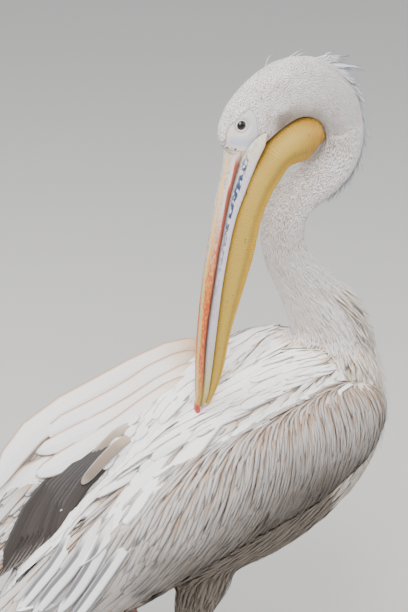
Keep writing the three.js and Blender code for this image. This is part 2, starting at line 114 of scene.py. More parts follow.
def share_of(tree, *factors):
    """Nodes that multiply shares from 0 to 1.

    A factor is a number, an output, or the range of an output: the output, its value where the
    share is 0, its value where it is 1, and LINEAR where it isn't soft at the ends.
    """
    product = None
    for factor in factors:
        if isinstance(factor, tuple):
            value, low, high, *evenly = factor
            settings = {"interpolation_type": LINEAR if evenly else "SMOOTHSTEP"}
            inputs = {"Value": value, "From Min": low, "From Max": high}
            factor = add_node(tree, "MapRange", settings, inputs)
        if product is None:
            product = factor
        else:
            product = add_node(tree, "Math", {"operation": "MULTIPLY"}, {0: product, 1: factor})
    return product


def painted(tree, colour, *layers):
    """Nodes that lay colours over one another. A layer is a colour and the factors of its share."""
    for top, *factors in layers:
        inputs = {0: share_of(tree, *factors)}
        for socket, paint in ((MIX_A, colour), (MIX_B, top)):
            inputs[socket] = linear(paint) if isinstance(paint, int) else paint
        colour = add_node(tree, "Mix", {"data_type": "RGBA"}, inputs, out=MIX_OUT)
    return colour


def new_finish(name):
    """A material with nothing in it but its Principled shader."""
    finish = bpy.data.materials.new(name)
    finish.use_nodes = True
    return finish, finish.node_tree, finish.node_tree.nodes["Principled BSDF"]


print("white as a shader sees it:", [round(x, 2) for x in linear(0xE9E4DF)])

# %% [markdown]
# Three frames make the rest short. The bird is measured in millimetres in its own frame, the
# trunk has a frame that rises 25 degrees to the front, and the head has one that runs down the
# bill. X goes along the part, Y to the bird's left, and Z to its upper side. The eyes of the
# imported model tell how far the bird's own frame lies from the model's.

# %% The bird's frames
BODY_TILT = math.radians(25)
BODY_CENTRE = np.array([19.0, 0.0, 359.0])
BILL_BASE = np.array([53.0, -8.0, 833.0])
BILL_TIP = np.array([-27.0, -32.0, 464.0])
CROWN_HEADING = math.radians(168)
EYE_ALONG, EYE_SIDE, EYE_UP, EYE_RADIUS = -32.2, 16.8, 11.2, 8.0
SIDES = {"left": 1, "right": -1}


def unit(vectors):
    """The same vector, or each row of them, with a length of 1."""
    vectors = np.asarray(vectors, float)
    return vectors / np.maximum(np.linalg.norm(vectors, axis=-1, keepdims=True), 1e-12)


FORWARD = np.array([math.cos(BODY_TILT), 0.0, math.sin(BODY_TILT)])
LEFT = np.array([0.0, 1.0, 0.0])
UPWARD = np.cross(FORWARD, LEFT)
body_axes = np.stack([FORWARD, LEFT, UPWARD])
bill_way = unit(BILL_TIP - BILL_BASE)
crown_way = np.array([math.cos(CROWN_HEADING), math.sin(CROWN_HEADING), 0.0])
crown_way = unit(crown_way - crown_way.dot(bill_way) * bill_way)
head_axes = np.stack([bill_way, np.cross(crown_way, bill_way), crown_way])

eye_middle = sum((sum(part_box("eye_" + side), Vector()) for side in SIDES), Vector()) / 4
drawn_middle = BILL_BASE + np.array([EYE_ALONG, 0, EYE_UP]) @ head_axes
SHIFT = np.array(eye_middle) - drawn_middle * MM


def place(points):
    """Points in the bird's millimetres, as metres in the model's frame."""
    return np.asarray(points, float) * MM + SHIFT


def on_head(points):
    """Points in the head's millimetres, as metres in the model's frame."""
    return place(BILL_BASE + np.asarray(points, float) @ head_axes)


def on_body(points):
    """Points in the trunk's millimetres, as metres in the model's frame."""
    return place(BODY_CENTRE + np.asarray(points, float) @ body_axes)


def seen_from(points, origin, axes):
    """The way back: metres in the model's frame as millimetres in a frame of the bird."""
    return ((np.asarray(points, float) - SHIFT) / MM - origin) @ axes.T


print("the bird's frame lies at", np.round(SHIFT, 4))

# %% [markdown]
# The camera stands to the bird's right, behind it and a little above, as a visitor looking over
# a low wall would, with a long lens. Floor and light are plain, as in a studio: a pale floor,
# soft lamps high over the head and over the back, weaker ones on the visitor's side and in front
# of the breast, and a surrounding that is pale above and dimmer below.

# %% Camera, floor and light
CAMERA_AZIMUTH, CAMERA_ELEVATION = math.radians(-32), math.radians(22)
CAMERA_DISTANCE, CAMERA_TARGET = 3500.0, np.array([0.0, 0.0, 605.0])
CAMERA_LENS = 147.06

camera_back = np.array([
    math.sin(CAMERA_AZIMUTH) * math.cos(CAMERA_ELEVATION),
    -math.cos(CAMERA_AZIMUTH) * math.cos(CAMERA_ELEVATION),
    math.sin(CAMERA_ELEVATION),
])
camera = bpy.data.objects.new("camera", bpy.data.cameras.new("camera"))
bpy.context.scene.collection.objects.link(camera)
camera.location = place(CAMERA_TARGET + CAMERA_DISTANCE * camera_back)
camera.rotation_euler = Vector(camera_back).to_track_quat("Z", "Y").to_euler()
camera.data.lens = CAMERA_LENS
camera.data.clip_end = 60
bpy.context.scene.camera = camera

bpy.ops.mesh.primitive_plane_add(size=16, location=(0, 0, 0))
floor = bpy.context.object
floor.name = "floor"
floor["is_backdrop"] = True
finish, tree, shader = new_finish("pale studio floor")
speckle = add_node(tree, "TexNoise", inputs={"Scale": 3.0, "Detail": 3.0})
pale = painted(tree, 0xB9B7B3, (0xC0BEBA, (speckle, 0.3, 0.7, LINEAR)))
tree.links.new(pale, shader.inputs["Base Color"])
shader.inputs["Roughness"].default_value = 0.9
floor.data.materials.append(finish)

LAMPS = {
    # name: place in metres, size, watts, colour
    "over the head": ((-0.5, -0.8, 2.1), 1.1, 46, 0xFFFDFA),
    "over the back": ((-0.8, 1.4, 2.5), 1.6, 84, 0xFFFFFF),
    "visitor's side": ((-1.3, -2.6, 1.9), 2.2, 16, 0xF6F7FF),
    "before the breast": ((2.2, -0.8, 1.9), 1.6, 36, 0xFFFFFF),
}
for name, (where, size, watts, colour) in LAMPS.items():
    lamp = bpy.data.lights.new(name, "AREA")
    lamp.size = size
    lamp.energy = watts
    lamp.color = linear(colour)[:3]
    holder = bpy.data.objects.new(name, lamp)
    holder.location = where
    holder.rotation_euler = (Vector(where) - Vector((0, 0, 0.6))).to_track_quat("Z", "Y").to_euler()
    bpy.context.scene.collection.objects.link(holder)
world = bpy.data.worlds.new("pale surrounding")
world.use_nodes = True
SKY, GROUND = 1.1, 0.22  # how bright the surrounding is straight above and below
surrounding = world.node_tree.nodes["Background"]
surrounding.inputs["Color"].default_value = linear(0xF0F3F8)
facing = add_node(world.node_tree, "TexCoord", out="Generated")
height = add_node(world.node_tree, "SeparateXYZ", inputs={0: facing}, out=2)
rising = {"Value": height, "From Min": -0.5, "From Max": 0.9, "To Min": GROUND, "To Max": SKY}
brightness = add_node(world.node_tree, "MapRange", inputs=rising)
world.node_tree.links.new(brightness, surrounding.inputs["Strength"])
bpy.context.scene.world = world
print("camera at", [round(x, 2) for x in camera.location])

# %% [markdown]
# Bill, pouch, shanks and claws are long, smoothly changing tubes. By hand we would skin them
# through drawn sections, so we do the same: a table gives the section at a few places, a smooth
# curve fills in the rest, and `loft` joins the sections into one closed mesh. Each point also
# remembers how far along and how far round it is, which the finishes use.

# %% Smooth tables and lofts
def smooth_table(rows, along):
    """A smooth curve through a table, one column at a time. The first column is the place."""
    table = np.array(rows, float)
    table = table[np.argsort(table[:, 0])]
    knots, values = table[:, 0], table[:, 1:]
    before = np.maximum(np.arange(len(knots)) - 1, 0)
    after = np.minimum(np.arange(len(knots)) + 1, len(knots) - 1)
    slopes = (values[after] - values[before]) / (knots[after] - knots[before])[:, None]
    i = np.clip(np.searchsorted(knots, along) - 1, 0, len(knots) - 2)
    span = (knots[i + 1] - knots[i])[:, None]
    t = np.clip((np.asarray(along, float)[:, None] - knots[i][:, None]) / span, 0, 1)
    curve = values[i] * (2 * t**3 - 3 * t**2 + 1) + values[i + 1] * (3 * t**2 - 2 * t**3)
    return curve + span * (slopes[i] * (t**3 - 2 * t**2 + t) + slopes[i + 1] * (t**3 - t**2))


def mesh_piece(name, points, corners, sizes, attributes=None):
    """A mesh object from its points and from its faces' corners, listed one after another."""
    mesh = bpy.data.meshes.new(name)
    mesh.vertices.add(len(points))
    mesh.vertices.foreach_set("co", np.asarray(points, np.float32).ravel())
    mesh.loops.add(len(corners))
    mesh.loops.foreach_set("vertex_index", np.asarray(corners, np.int32))
    mesh.polygons.add(len(sizes))
    starts = np.concatenate([[0], np.cumsum(sizes)[:-1]])
    mesh.polygons.foreach_set("loop_start", starts.astype(np.int32))
    mesh.polygons.foreach_set("use_smooth", np.ones(len(sizes), bool))
    for label, values in (attributes or {}).items():
        stored = mesh.attributes.new(label, "FLOAT_VECTOR", "POINT")
        stored.data.foreach_set("vector", np.asarray(values, np.float32).ravel())
    mesh.update(calc_edges=True)
    piece = bpy.data.objects.new(name, mesh)
    bpy.context.scene.collection.objects.link(piece)
    return piece


def loft(name, rings, along=None, mark=None):
    """One closed mesh through rings of points, (rings, around, 3), with its ends filled.

    Its track holds the place along, the share of the way round, and a mark for each point.
    """
    rings = np.asarray(rings, float)
    count, around = rings.shape[:2]
    i, j = np.meshgrid(np.arange(count - 1), np.arange(around), indexing="ij")
    a, b = i * around + j, i * around + (j + 1) % around
    sides = np.stack([a, b, b + around, a + around], axis=-1).reshape(-1, 4)
    points = np.concatenate([rings.reshape(-1, 3), rings[0].mean(0)[None], rings[-1].mean(0)[None]])
    last = (count - 1) * around
    ring = np.arange(around)
    start_cap = np.stack([np.full(around, count * around), (ring + 1) % around, ring], axis=-1)
    end_cap = np.stack(
        [np.full(around, count * around + 1), last + ring, last + (ring + 1) % around], axis=-1
    )
    corners = np.concatenate([sides.ravel(), start_cap.ravel(), end_cap.ravel()])
    sizes = np.array([4] * len(sides) + [3] * 2 * around)
    if along is None:
        along = np.linspace(0, 1, count)
    share = np.stack(np.meshgrid(along, ring / around, indexing="ij"), axis=-1).reshape(-1, 2)
    share = np.concatenate([share, [[along[0], 0.5], [along[-1], 0.5]]])
    marks = np.zeros(len(share)) if mark is None else np.append(np.ravel(mark), [0.5, 0.5])
    track = np.column_stack([share, marks])
    piece = mesh_piece(name, points, corners, sizes, {"track": track})
    turned = bmesh.new()
    turned.from_mesh(piece.data)
    if turned.calc_volume(signed=True) < 0:
        bmesh.ops.reverse_faces(turned, faces=turned.faces)
    turned.to_mesh(piece.data)
    turned.free()
    return piece


def finish_piece(piece, finish, slot, *stands_for):
    """Gives a piece its finish and its place on the bird. The slot is not used."""
    piece.data.materials.clear()
    piece.data.materials.append(finish)
    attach(piece, "root")
    if stands_for:
        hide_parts(*stands_for)
    triangles = sum(len(p.vertices) - 2 for p in piece.data.polygons)
    print(f"{piece.name}: {triangles} triangles, {finish.name}")


print("halfway up a small table:", smooth_table([(0, 1), (1, 3), (2, 4)], [0.5])[0])


# %% [markdown]
# A piece is shaped further by moving its points along the directions they face. Thousands of
# points are read and written at once, as rows of numbers. A finish, too, has to know where on the
# bird it is: a Mapping node turns Object coordinates into the head's or the trunk's millimetres.

# %% A mesh's points, and places in a shader
def points_of(mesh):
    """A mesh's points as rows of numbers."""
    flat = np.empty(len(mesh.vertices) * 3, np.float32)
    mesh.vertices.foreach_get("co", flat)
    return flat.reshape(-1, 3).astype(float)


def normals_of(mesh):
    """The direction that each point of a mesh faces."""
    flat = np.empty(len(mesh.vertices) * 3, np.float32)
    mesh.vertex_normals.foreach_get("vector", flat)
    return flat.reshape(-1, 3).astype(float)


def set_points(mesh, points):
    """Puts a mesh's points where the rows say."""
    mesh.vertices.foreach_set("co", np.asarray(points, np.float32).ravel())
    mesh.update()


def place_in(tree, origin, axes):
    """Nodes that give a shader the place in a frame of the bird: along, left and up, in mm."""
    turn = Matrix([list(row) for row in axes])
    inputs = {
        "Vector": add_node(tree, "TexCoord", out="Object"),
        "Location": -(turn @ Vector(place(origin))) / MM,
        "Rotation": turn.to_euler(),
        "Scale": (1 / MM,) * 3,
    }
    return add_node(tree, "Mapping", {"vector_type": "POINT"}, inputs)


print("the bill's base lies at", np.round(on_head([0, 0, 0]), 3))

# %% [markdown]
# The upper half of the bill is a long flat blade of horn: a rounded ridge down the middle, a
# groove on each side of it, and edges that overhang the lower half. The lower half is two thin
# rails, seen from outside as one rounded strip. Both get a section every two millimetres or so.

# %% The two halves of the bill and the nail
UPPER_BILL = [  # along, half width, height of the ridge, height of the mouth edge
    (-6, 19, 18, 3), (0, 22.8, 21, 3.8), (8, 23.6, 22.2, 4.6), (20, 23.5, 21.8, 5.8),
    (60, 22.5, 21.8, 10.4), (100, 21.8, 24, 12.8), (150, 21, 24.6, 14), (200, 20.5, 24.2, 14.2),
    (250, 19.6, 20.6, 13.6), (290, 18.8, 16.8, 11.4), (325, 17, 13.2, 7.6), (345, 15, 11, 5.4),
    (356, 13, 9.8, 4.2), (368, 8, 8.4, 3.2), (372, 5, 7.6, 3.2),
]
LOWER_BILL = [  # along, half width, top, bottom
    (-24, 23, -18, -31), (-8, 25, -3, -31.5), (10, 24.6, 3, -26), (20, 24.2, 5, -23),
    (60, 22.9, 9.6, -13), (100, 21.8, 12, -4.6), (150, 20.8, 13.2, -1), (200, 20, 13.4, -0.4),
    (250, 19, 12.8, -2.2), (290, 17.9, 10.6, -3.8), (325, 15.5, 6.8, -5.2),
    (345, 12.6, 4.6, -5.8), (356, 10.6, 3.4, -5.4), (371, 5, 1.6, -3.6),
]
NAIL = [  # along, up, half width, half height
    (367, 5.4, 7.6, 3.2), (371, 5.2, 7.4, 3.7), (376, 4.6, 6.6, 3.7), (381.5, 2.0, 4.8, 3.4),
    (385, -2.4, 3.4, 2.6), (385.8, -6.2, 2.3, 1.9), (385.5, -7.8, 1.0, 1.0),
]
RIDGE_WIDTH, GROOVE_AT, GROOVE_WIDTH = 0.2, 0.42, 0.07  # as shares of the half width
RIDGE_RISE, GROOVE_DEPTH, LIP_RISE = 0.3, 0.075, 0.05  # as shares of the vault's height
TOP_POINTS, BILL_RINGS = 30, 190


def upper_section(half, ridge, edge):
    """One section of the upper half: the vaulted top, then the hollow of the palate."""
    across = np.sin(np.linspace(-math.pi / 2, math.pi / 2, TOP_POINTS))
    flank = (1 - np.abs(across) ** 2.6) ** 0.5
    keel = RIDGE_RISE * np.exp(-((across / RIDGE_WIDTH) ** 2))
    groove = GROOVE_DEPTH * np.exp(-(((np.abs(across) - GROOVE_AT) / GROOVE_WIDTH) ** 2))
    lip = LIP_RISE * np.exp(-(((np.abs(across) - 0.93) / 0.05) ** 2))
    top = edge + 0.6 + (ridge - edge - 1) * (0.72 * flank + keel - groove + lip)
    back = across[::-1][1:-1]
    palate = edge + 1.4 * (1 - back**2)
    sides = np.concatenate([across, back * 0.93]) * half
    return np.stack([sides, np.concatenate([top, palate])], axis=-1)


along = np.linspace(UPPER_BILL[0][0], UPPER_BILL[-1][0], BILL_RINGS)
rings, marks = [], []
for x, (half, ridge, edge) in zip(along, smooth_table(UPPER_BILL, along)):
    section = upper_section(half, ridge, edge)
    rings.append(on_head(np.column_stack([np.full(len(section), x), section])))
    # The mark is how far up the flank a point lies: 0 at the mouth edge and 1 on the ridge.
    steps = np.linalg.norm(np.diff(section[:TOP_POINTS], axis=0), axis=1)
    walked = np.concatenate([[0], np.cumsum(steps)]) / steps.sum()
    marks.append(np.concatenate([1 - np.abs(2 * walked - 1), np.zeros(TOP_POINTS - 2)]))
bill_upper = loft("bill_upper_horn", rings, along, marks)

along = np.linspace(LOWER_BILL[0][0], LOWER_BILL[-1][0], BILL_RINGS)
turn = np.linspace(0, 2 * math.pi, 44, endpoint=False)
squared = np.sign(np.cos(turn)) * np.abs(np.cos(turn)) ** 0.6
flattened = np.sign(np.sin(turn)) * np.abs(np.sin(turn)) ** 0.6
rings = []
marks = np.tile(0.5 + 0.5 * squared, (len(along), 1))  # 0 at the lower edge and 1 at the mouth edge
for x, (half, top, bottom) in zip(along, smooth_table(LOWER_BILL, along)):
    middle, tall = (top + bottom) / 2, (top - bottom) / 2
    rail = 1 - 0.025 * np.exp(-(((squared + 0.35) / 0.12) ** 2))  # a shallow groove along it
    rings.append(on_head(np.column_stack(
        [np.full(len(turn), x), half * flattened * rail, middle + tall * squared]
    )))
bill_lower = loft("bill_lower_horn", rings, along, marks)


def bent_loft(name, rows, steps, around, to_place=on_head):
    """A tube along a bent line: along, up, half width, half height, and how far to the left."""
    rows = np.array([(*row, 0)[:5] for row in rows], float)
    knots = np.column_stack([np.arange(len(rows)), rows])
    along, up, side, tall, left = smooth_table(knots, np.linspace(0, len(rows) - 1, steps)).T
    way = unit(np.column_stack([np.gradient(along), np.gradient(up)]))
    out = np.column_stack([-way[:, 1], way[:, 0]])
    turn = np.linspace(0, 2 * math.pi, around, endpoint=False)
    x = along[:, None] + out[:, :1] * tall[:, None] * np.cos(turn)
    z = up[:, None] + out[:, 1:] * tall[:, None] * np.cos(turn)
    y = left[:, None] + side[:, None] * np.sin(turn)
    return loft(name, to_place(np.stack([x, y, z], axis=-1)), np.linspace(0, 1, steps))


nail = bent_loft("bill_nail_horn", NAIL, 28, 20)
print("bill:", len(bill_upper.data.polygons), "and", len(bill_lower.data.polygons), "faces")

# %% [markdown]
# Horn on a living bill is a thin polished sheath over bone, so it is smooth with a soft shine,
# and its colours lie in long streaks along the bill: blue-grey flecks at the ridge, a yellow
# and pink band that fills with brick-red flecks towards the tip, and a red-brown mouth edge.
# The pattern is drawn in the head's own millimetres, stretched along the bill.

# %% Finish of the upper bill
def stretched_noise(tree, where, stretch, scale, detail=2.0):
    """Noise on the head's millimetres. scale is in spots per mm, and stretch is along the bill."""
    inputs = {"Vector": where, "Scale": (1 / stretch, 1, 1)}
    longer = add_node(tree, "Mapping", {"vector_type": "POINT"}, inputs)
    return add_node(tree, "TexNoise", inputs={"Vector": longer, "Scale": scale, "Detail": detail})


def finish_shader(tree, shader, colour, roughness, bump, height=0.0002, **fixed):
    """Links a colour and a bump to the shader, and sets what is the same all over."""
    tree.links.new(colour, shader.inputs["Base Color"])
    if isinstance(roughness, bpy.types.NodeSocket):
        tree.links.new(roughness, shader.inputs["Roughness"])
    else:
        shader.inputs["Roughness"].default_value = roughness
    if bump is not None:
        raised = add_node(tree, "Bump", inputs={"Height": bump, "Distance": height})
        tree.links.new(raised, shader.inputs["Normal"])
    for name, value in fixed.items():
        shader.inputs[name.replace("_", " ")].default_value = value


HORN_IOR = 1.54  # keratin, as of nails and horn
WAVER = 0.34  # how far the bands on the flank wander, as a share of its height

upper_horn, tree, shader = new_finish("keratin of the upper bill")
where = place_in(tree, BILL_BASE, head_axes)
along = add_node(tree, "SeparateXYZ", inputs={0: where}, out=0)
track = add_node(tree, "Attribute", {"attribute_name": "track"}, out="Vector")
flank = add_node(tree, "SeparateXYZ", inputs={0: track}, out=2)  # 0 at the mouth, 1 on the ridge
waves = stretched_noise(tree, where, 5, 0.16, 3.0)
flank = add_node(tree, "Math", {"operation": "MULTIPLY_ADD"}, {0: waves, 1: WAVER, 2: flank})
flank = add_node(tree, "Math", {"operation": "SUBTRACT"}, {0: flank, 1: WAVER / 2})
near_face = [
    (0.0, 0xB98250), (0.06, 0xD9A56C), (0.22, 0xDFC4B6), (0.40, 0xD9C9C4),
    (0.60, 0xDFC8AC), (0.72, 0xE4B474), (0.84, 0xE0BE88), (1.0, 0xA3B0BA),
]
near_tip = [
    (0.0, 0x7E3A20), (0.08, 0xBE6224), (0.25, 0xD8862A), (0.5, 0xDA953A),
    (0.7, 0xD8A648), (0.85, 0xD2B268), (1.0, 0xB0AE92),
]
near_band, far_band = (
    add_node(tree, "ValToRGB", inputs={"Fac": flank}, stops=stops) for stops in (near_face, near_tip)
)
dashes = share_of(tree, (stretched_noise(tree, where, 2.6, 0.6, 3.0), 0.50, 0.62, LINEAR))
red_dashes = stretched_noise(tree, where, 2.6, 0.40, 4.0)
fine_red = stretched_noise(tree, where, 2.4, 0.6, 3.0)
colour = painted(
    tree, near_band,
    (far_band, (along, 60.0, 220.0)),
    # Blue-grey flecks on the flank and on the ridge.
    (0x557A9E, dashes, (flank, 0.32, 0.42), (flank, 0.72, 0.60), (along, 190.0, 90.0), 0.9),
    (0x5F7F9C, dashes, (flank, 0.86, 0.97), (along, 250.0, 150.0), 0.9),
    # Brick-red flecks, more and more of them towards the tip.
    (0xC42C0E, (red_dashes, 0.49, 0.54, LINEAR), (flank, 0.10, 0.22), (flank, 0.88, 0.62),
     (along, 120.0, 250.0), 0.95),
    (0xA94322, (fine_red, 0.50, 0.56, LINEAR), (flank, 0.85, 0.6), (along, 70.0, 150.0), 0.8),
    # The mouth edge, red near the face and dark all along, and a greener tip.
    (0x96281A, (flank, 0.04, 0.08, LINEAR), (flank, 0.24, 0.16, LINEAR), (along, 2.0, 22.0),
     (along, 190.0, 110.0), 0.9),
    (0x5E2E16, (flank, 0.12, 0.05, LINEAR), 0.95),
    (0xA8A03A, (along, 320.0, 362.0, LINEAR), (flank, 0.75, 0.4, LINEAR), 0.7),
    (0xD9CDC8, (along, 24.0, 8.0), 0.4),
)
grain = stretched_noise(tree, where, 12.0, 0.9, 4.0)
gloss = share_of(tree, (grain, -0.6, 1.6, LINEAR))
finish_shader(tree, shader, colour, gloss, grain, 0.0004, IOR=HORN_IOR)
finish_piece(bill_upper, upper_horn, "bill_horn", "bill_upper")

# %% [markdown]
# The lower half is paler, lilac-white with a cream base. A chain of blue-grey flecks follows the
# mouth edge, a few millimetres below it. The nail at the tip is a small hook of red horn.

# %% Finishes of the lower bill and the nail
CHAIN_AT, CHAIN_WANDER = 0.88, 0.3  # as shares of the rail's height

lower_horn, tree, shader = new_finish("keratin of the lower bill")
where = place_in(tree, BILL_BASE, head_axes)
along = add_node(tree, "SeparateXYZ", inputs={0: where}, out=0)
track = add_node(tree, "Attribute", {"attribute_name": "track"}, out="Vector")
rail = add_node(tree, "SeparateXYZ", inputs={0: track}, out=2)  # 0 at its foot, 1 at the mouth
ground = add_node(
    tree, "ValToRGB", inputs={"Fac": share_of(tree, (along, -25.0, 370.0, LINEAR))},
    stops=[
        (0.0, 0xDFD0B2), (0.07, 0xE2D8CE), (0.2, 0xDED5DE), (0.5, 0xD6CDD8),
        (0.75, 0xC9BFC6), (0.92, 0xC9BC92), (1.0, 0xC2A654),
    ],
)
wander = stretched_noise(tree, where, 4.0, 0.1)
off_chain = add_node(
    tree, "Math", {"operation": "MULTIPLY_ADD"}, {0: wander, 1: CHAIN_WANDER, 2: rail}
)
off_chain = add_node(tree, "Math", {"operation": "SUBTRACT"}, {0: off_chain, 1: CHAIN_AT})
off_chain = add_node(tree, "Math", {"operation": "ABSOLUTE"}, {0: off_chain})
flecks = stretched_noise(tree, where, 2.2, 0.3, 3.0)
specks = stretched_noise(tree, where, 1.5, 0.5)
colour = painted(
    tree, ground,
    (0x2C456A, (flecks, 0.45, 0.50, LINEAR), (off_chain, 0.17, 0.08), (along, 250.0, 100.0, LINEAR)),
    (0x7F86A0, (specks, 0.63, 0.67, LINEAR), 0.6),
    (0xDDB487, (along, 14.0, -10.0), (rail, 0.5, 0.1), 0.75),
    (0xE9DFC8, (along, 26.0, -4.0), 0.7),
    (0xA8653A, (rail, 0.94, 1.0, LINEAR), 0.85),
    (0x9A7248, (rail, 0.12, 0.03, LINEAR), 0.8),
)
grain = stretched_noise(tree, where, 12.0, 0.9, 4.0)
gloss = share_of(tree, (grain, -0.6, 1.6, LINEAR))
finish_shader(tree, shader, colour, gloss, grain, 0.0004, IOR=HORN_IOR)
finish_piece(bill_lower, lower_horn, "mandible_horn", "bill_lower")

nail_horn, tree, shader = new_finish("red keratin of the nail")
where = place_in(tree, BILL_BASE, head_axes)
along, _, up = add_node(tree, "SeparateXYZ", inputs={0: where}).node.outputs
streaks = stretched_noise(tree, where, 3.0, 0.9, 3.0)
colour = painted(
    tree, 0xC58A4A,
    (0xC03A30, (along, 366.0, 373.0)),
    (0xE07A62, (up, -4.0, -7.5)),
    (0x8E2A24, (streaks, 0.5, 0.7, LINEAR), 0.4),
)
finish_shader(tree, shader, colour, 0.34, streaks, 0.0003, IOR=HORN_IOR)
finish_piece(nail, nail_horn, "bill_nail", "bill_nail")

# %% [markdown]
# The pouch is bare, stretchy skin. Empty, it shrinks into a narrow bag under the bill: swollen
# where it meets the neck, finely wrinkled across, with a crease along its side below which the
# free edge hangs thicker and brighter. We loft it along its bent middle line, and then press the
# crease and the wrinkles into the mesh, because they catch the light along its whole length.

# %% The throat pouch
POUCH = [  # along the bill, up, half width, half height, to the left
    (-17, -137, 6, 5, -31), (-20, -124, 18, 15, -24), (-21, -115, 25, 25, -20),
    (-20, -104, 29, 29, -15), (-16, -90, 31, 31, -9), (-8, -72.5, 32, 28.5, -4),
    (8, -55, 30, 24.2, -1), (36, -41.6, 25.5, 23.4, 0), (54, -34.5, 24, 23, 0),
    (93, -25.7, 22, 21.7, 0), (150, -21.5, 20, 22, 0), (199, -17.7, 18.6, 18.4, 0),
    (259, -14.2, 16.6, 13.2, 0), (316, -14, 13.4, 10.4, 0), (350, -11.2, 8.6, 7, 0),
    (367, -8.2, 4.4, 3.6, 0),
]
CREASE_TURN = 0.40  # of a half turn, from the free edge round to the bill
CREASE_DEPTH, CREASE_WIDTH = 1.5, 0.055  # mm, and a share of a half turn
WRINKLE_DEPTH, WRINKLE_TURN, FOLD_DEPTH, FOLD_TURN = 0.55, 2.25, 0.35, 0.55  # mm, radians per mm
RINGS, AROUND = 430, 80

pouch = bent_loft("pouch_skin", POUCH, RINGS, AROUND)
shape, normals = points_of(pouch.data), normals_of(pouch.data)
middles = shape[:-2].reshape(RINGS, AROUND, 3).mean(axis=1)
reach = np.append(0, np.cumsum(np.linalg.norm(np.diff(middles, axis=0), axis=1))) / MM
arc = np.append(np.repeat(reach, AROUND), reach[[0, -1]])  # millimetres along the tube
share = np.append(np.repeat(np.linspace(0, 1, RINGS), AROUND), [0, 1])
turn = np.append(np.tile(np.arange(AROUND) / AROUND, RINGS), [0.5, 0.5])
down_share = 1 - np.abs(turn * 2 - 1)  # 0 at one edge of the tube and 1 at the other
height = seen_from(shape, BILL_BASE, head_axes)[:, 2]
if height[down_share > 0.9].mean() > height[down_share < 0.1].mean():
    down_share = 1 - down_share  # so that it is 1 at the free edge and 0 under the bill
track = np.column_stack([share, down_share, arc]).astype(np.float32)
pouch.data.attributes["track"].data.foreach_set("vector", track.ravel())
fade = np.clip((share - 0.30) / 0.12, 0, 1) * np.clip((1 - share) / 0.1, 0, 1)
crease = CREASE_DEPTH * fade * np.exp(-(((down_share - (1 - CREASE_TURN)) / CREASE_WIDTH) ** 2))
bend = 2.2 * np.sin(down_share * 7 + arc * 0.05) + 1.3 * np.sin(arc * 0.31)
wrinkles = 0.5 - 0.5 * np.sin(arc * WRINKLE_TURN + bend)
wrinkles *= np.clip((0.42 - share) / 0.25, 0.12, 1)
folds = 0.5 * np.sin(arc * FOLD_TURN + 1.5 * np.sin(down_share * 4))
folds *= np.clip((0.3 - share) / 0.2, 0, 1)
depth = crease + WRINKLE_DEPTH * wrinkles + FOLD_DEPTH * folds
set_points(pouch.data, shape - normals * (depth * MM)[:, None])
print("pouch pressed in by up to", round(depth.max(), 2), "mm")

# %% [markdown]
# Living skin stretched thin lets some light through, so the pouch gets a little subsurface
# scattering under its ochre colour. The rim beside the neck is orange-brown, the flank is a
# duller olive-yellow, and the free edge beyond the crease is the brightest gold.

# %% Finish of the pouch
pouch_hide, tree, shader = new_finish("bare yellow pouch skin")
where = place_in(tree, BILL_BASE, head_axes)
track = add_node(tree, "Attribute", {"attribute_name": "track"}, out="Vector")
length, down, far_along = add_node(tree, "SeparateXYZ", inputs={0: track}).node.outputs
flank = add_node(
    tree, "ValToRGB", inputs={"Fac": down},
    stops=[
        (0.0, 0x805A26), (0.10, 0x94702C), (0.17, 0xB6943A), (0.5, 0xBE9E42),
        (0.63, 0xAA8830), (0.70, 0xCCA02A), (0.85, 0xD3A220), (1.0, 0xC8931A),
    ],
)
beside_neck = share_of(tree, (length, 0.13, 0.03))
under_knob = share_of(tree, (length, 0.3, 0.16), (down, 0.72, 0.95))
rim = add_node(tree, "Math", {"operation": "MAXIMUM"}, {0: beside_neck, 1: under_knob})
# Waves across the tube, one for each fine wrinkle, about 3 mm apart.
across = add_node(tree, "CombineXYZ", inputs={0: far_along, 1: share_of(tree, down, 40.0)})
waves = {"Vector": across, "Scale": 0.095, "Distortion": 6.0, "Detail": 3.0, "Detail Scale": 0.6}
settings = {"wave_type": "BANDS", "bands_direction": "X"}
lines = add_node(tree, "TexWave", settings, waves, out="Fac")
spots = stretched_noise(tree, where, 2.5, 0.16)
colour = painted(
    tree, 0xC39430,
    (0xAE802C, stretched_noise(tree, where, 1.5, 0.09, 4.0)),
    (flank, (length, 0.16, 0.34)),
    (0xB0782A, rim, 0.3),
    (0x7E5A1C, lines, (length, 0.5, 0.2, LINEAR), 0.5),
    (0x7A6440, (spots, 0.70, 0.73, LINEAR), 0.7),
)
finish_shader(
    tree, shader, colour, 0.5, lines, 0.0003,
    Subsurface_Weight=0.12, Subsurface_Scale=0.004, IOR=1.42,
)
finish_piece(pouch, pouch_hide, "pouch_skin", "pouch")

# %% [markdown]
# The eye is a ball almost filled by its dark iris and pupil. A UV sphere is turned so that its
# pole looks out of the head, rings of colour round that pole draw the pupil and the iris, and a
# clear glossy coat stands in for the cornea.

# %% The eyes
def off_axis(tree, where, along, up):
    """Nodes for the distance in mm from a line straight across the head at this place."""
    flat = add_node(tree, "VectorMath", {"operation": "MULTIPLY"}, {0: where, 1: (1, 0, 1)})
    inputs = {0: flat, 1: (along, 0, up)}
    return add_node(tree, "VectorMath", {"operation": "DISTANCE"}, inputs, out="Value")


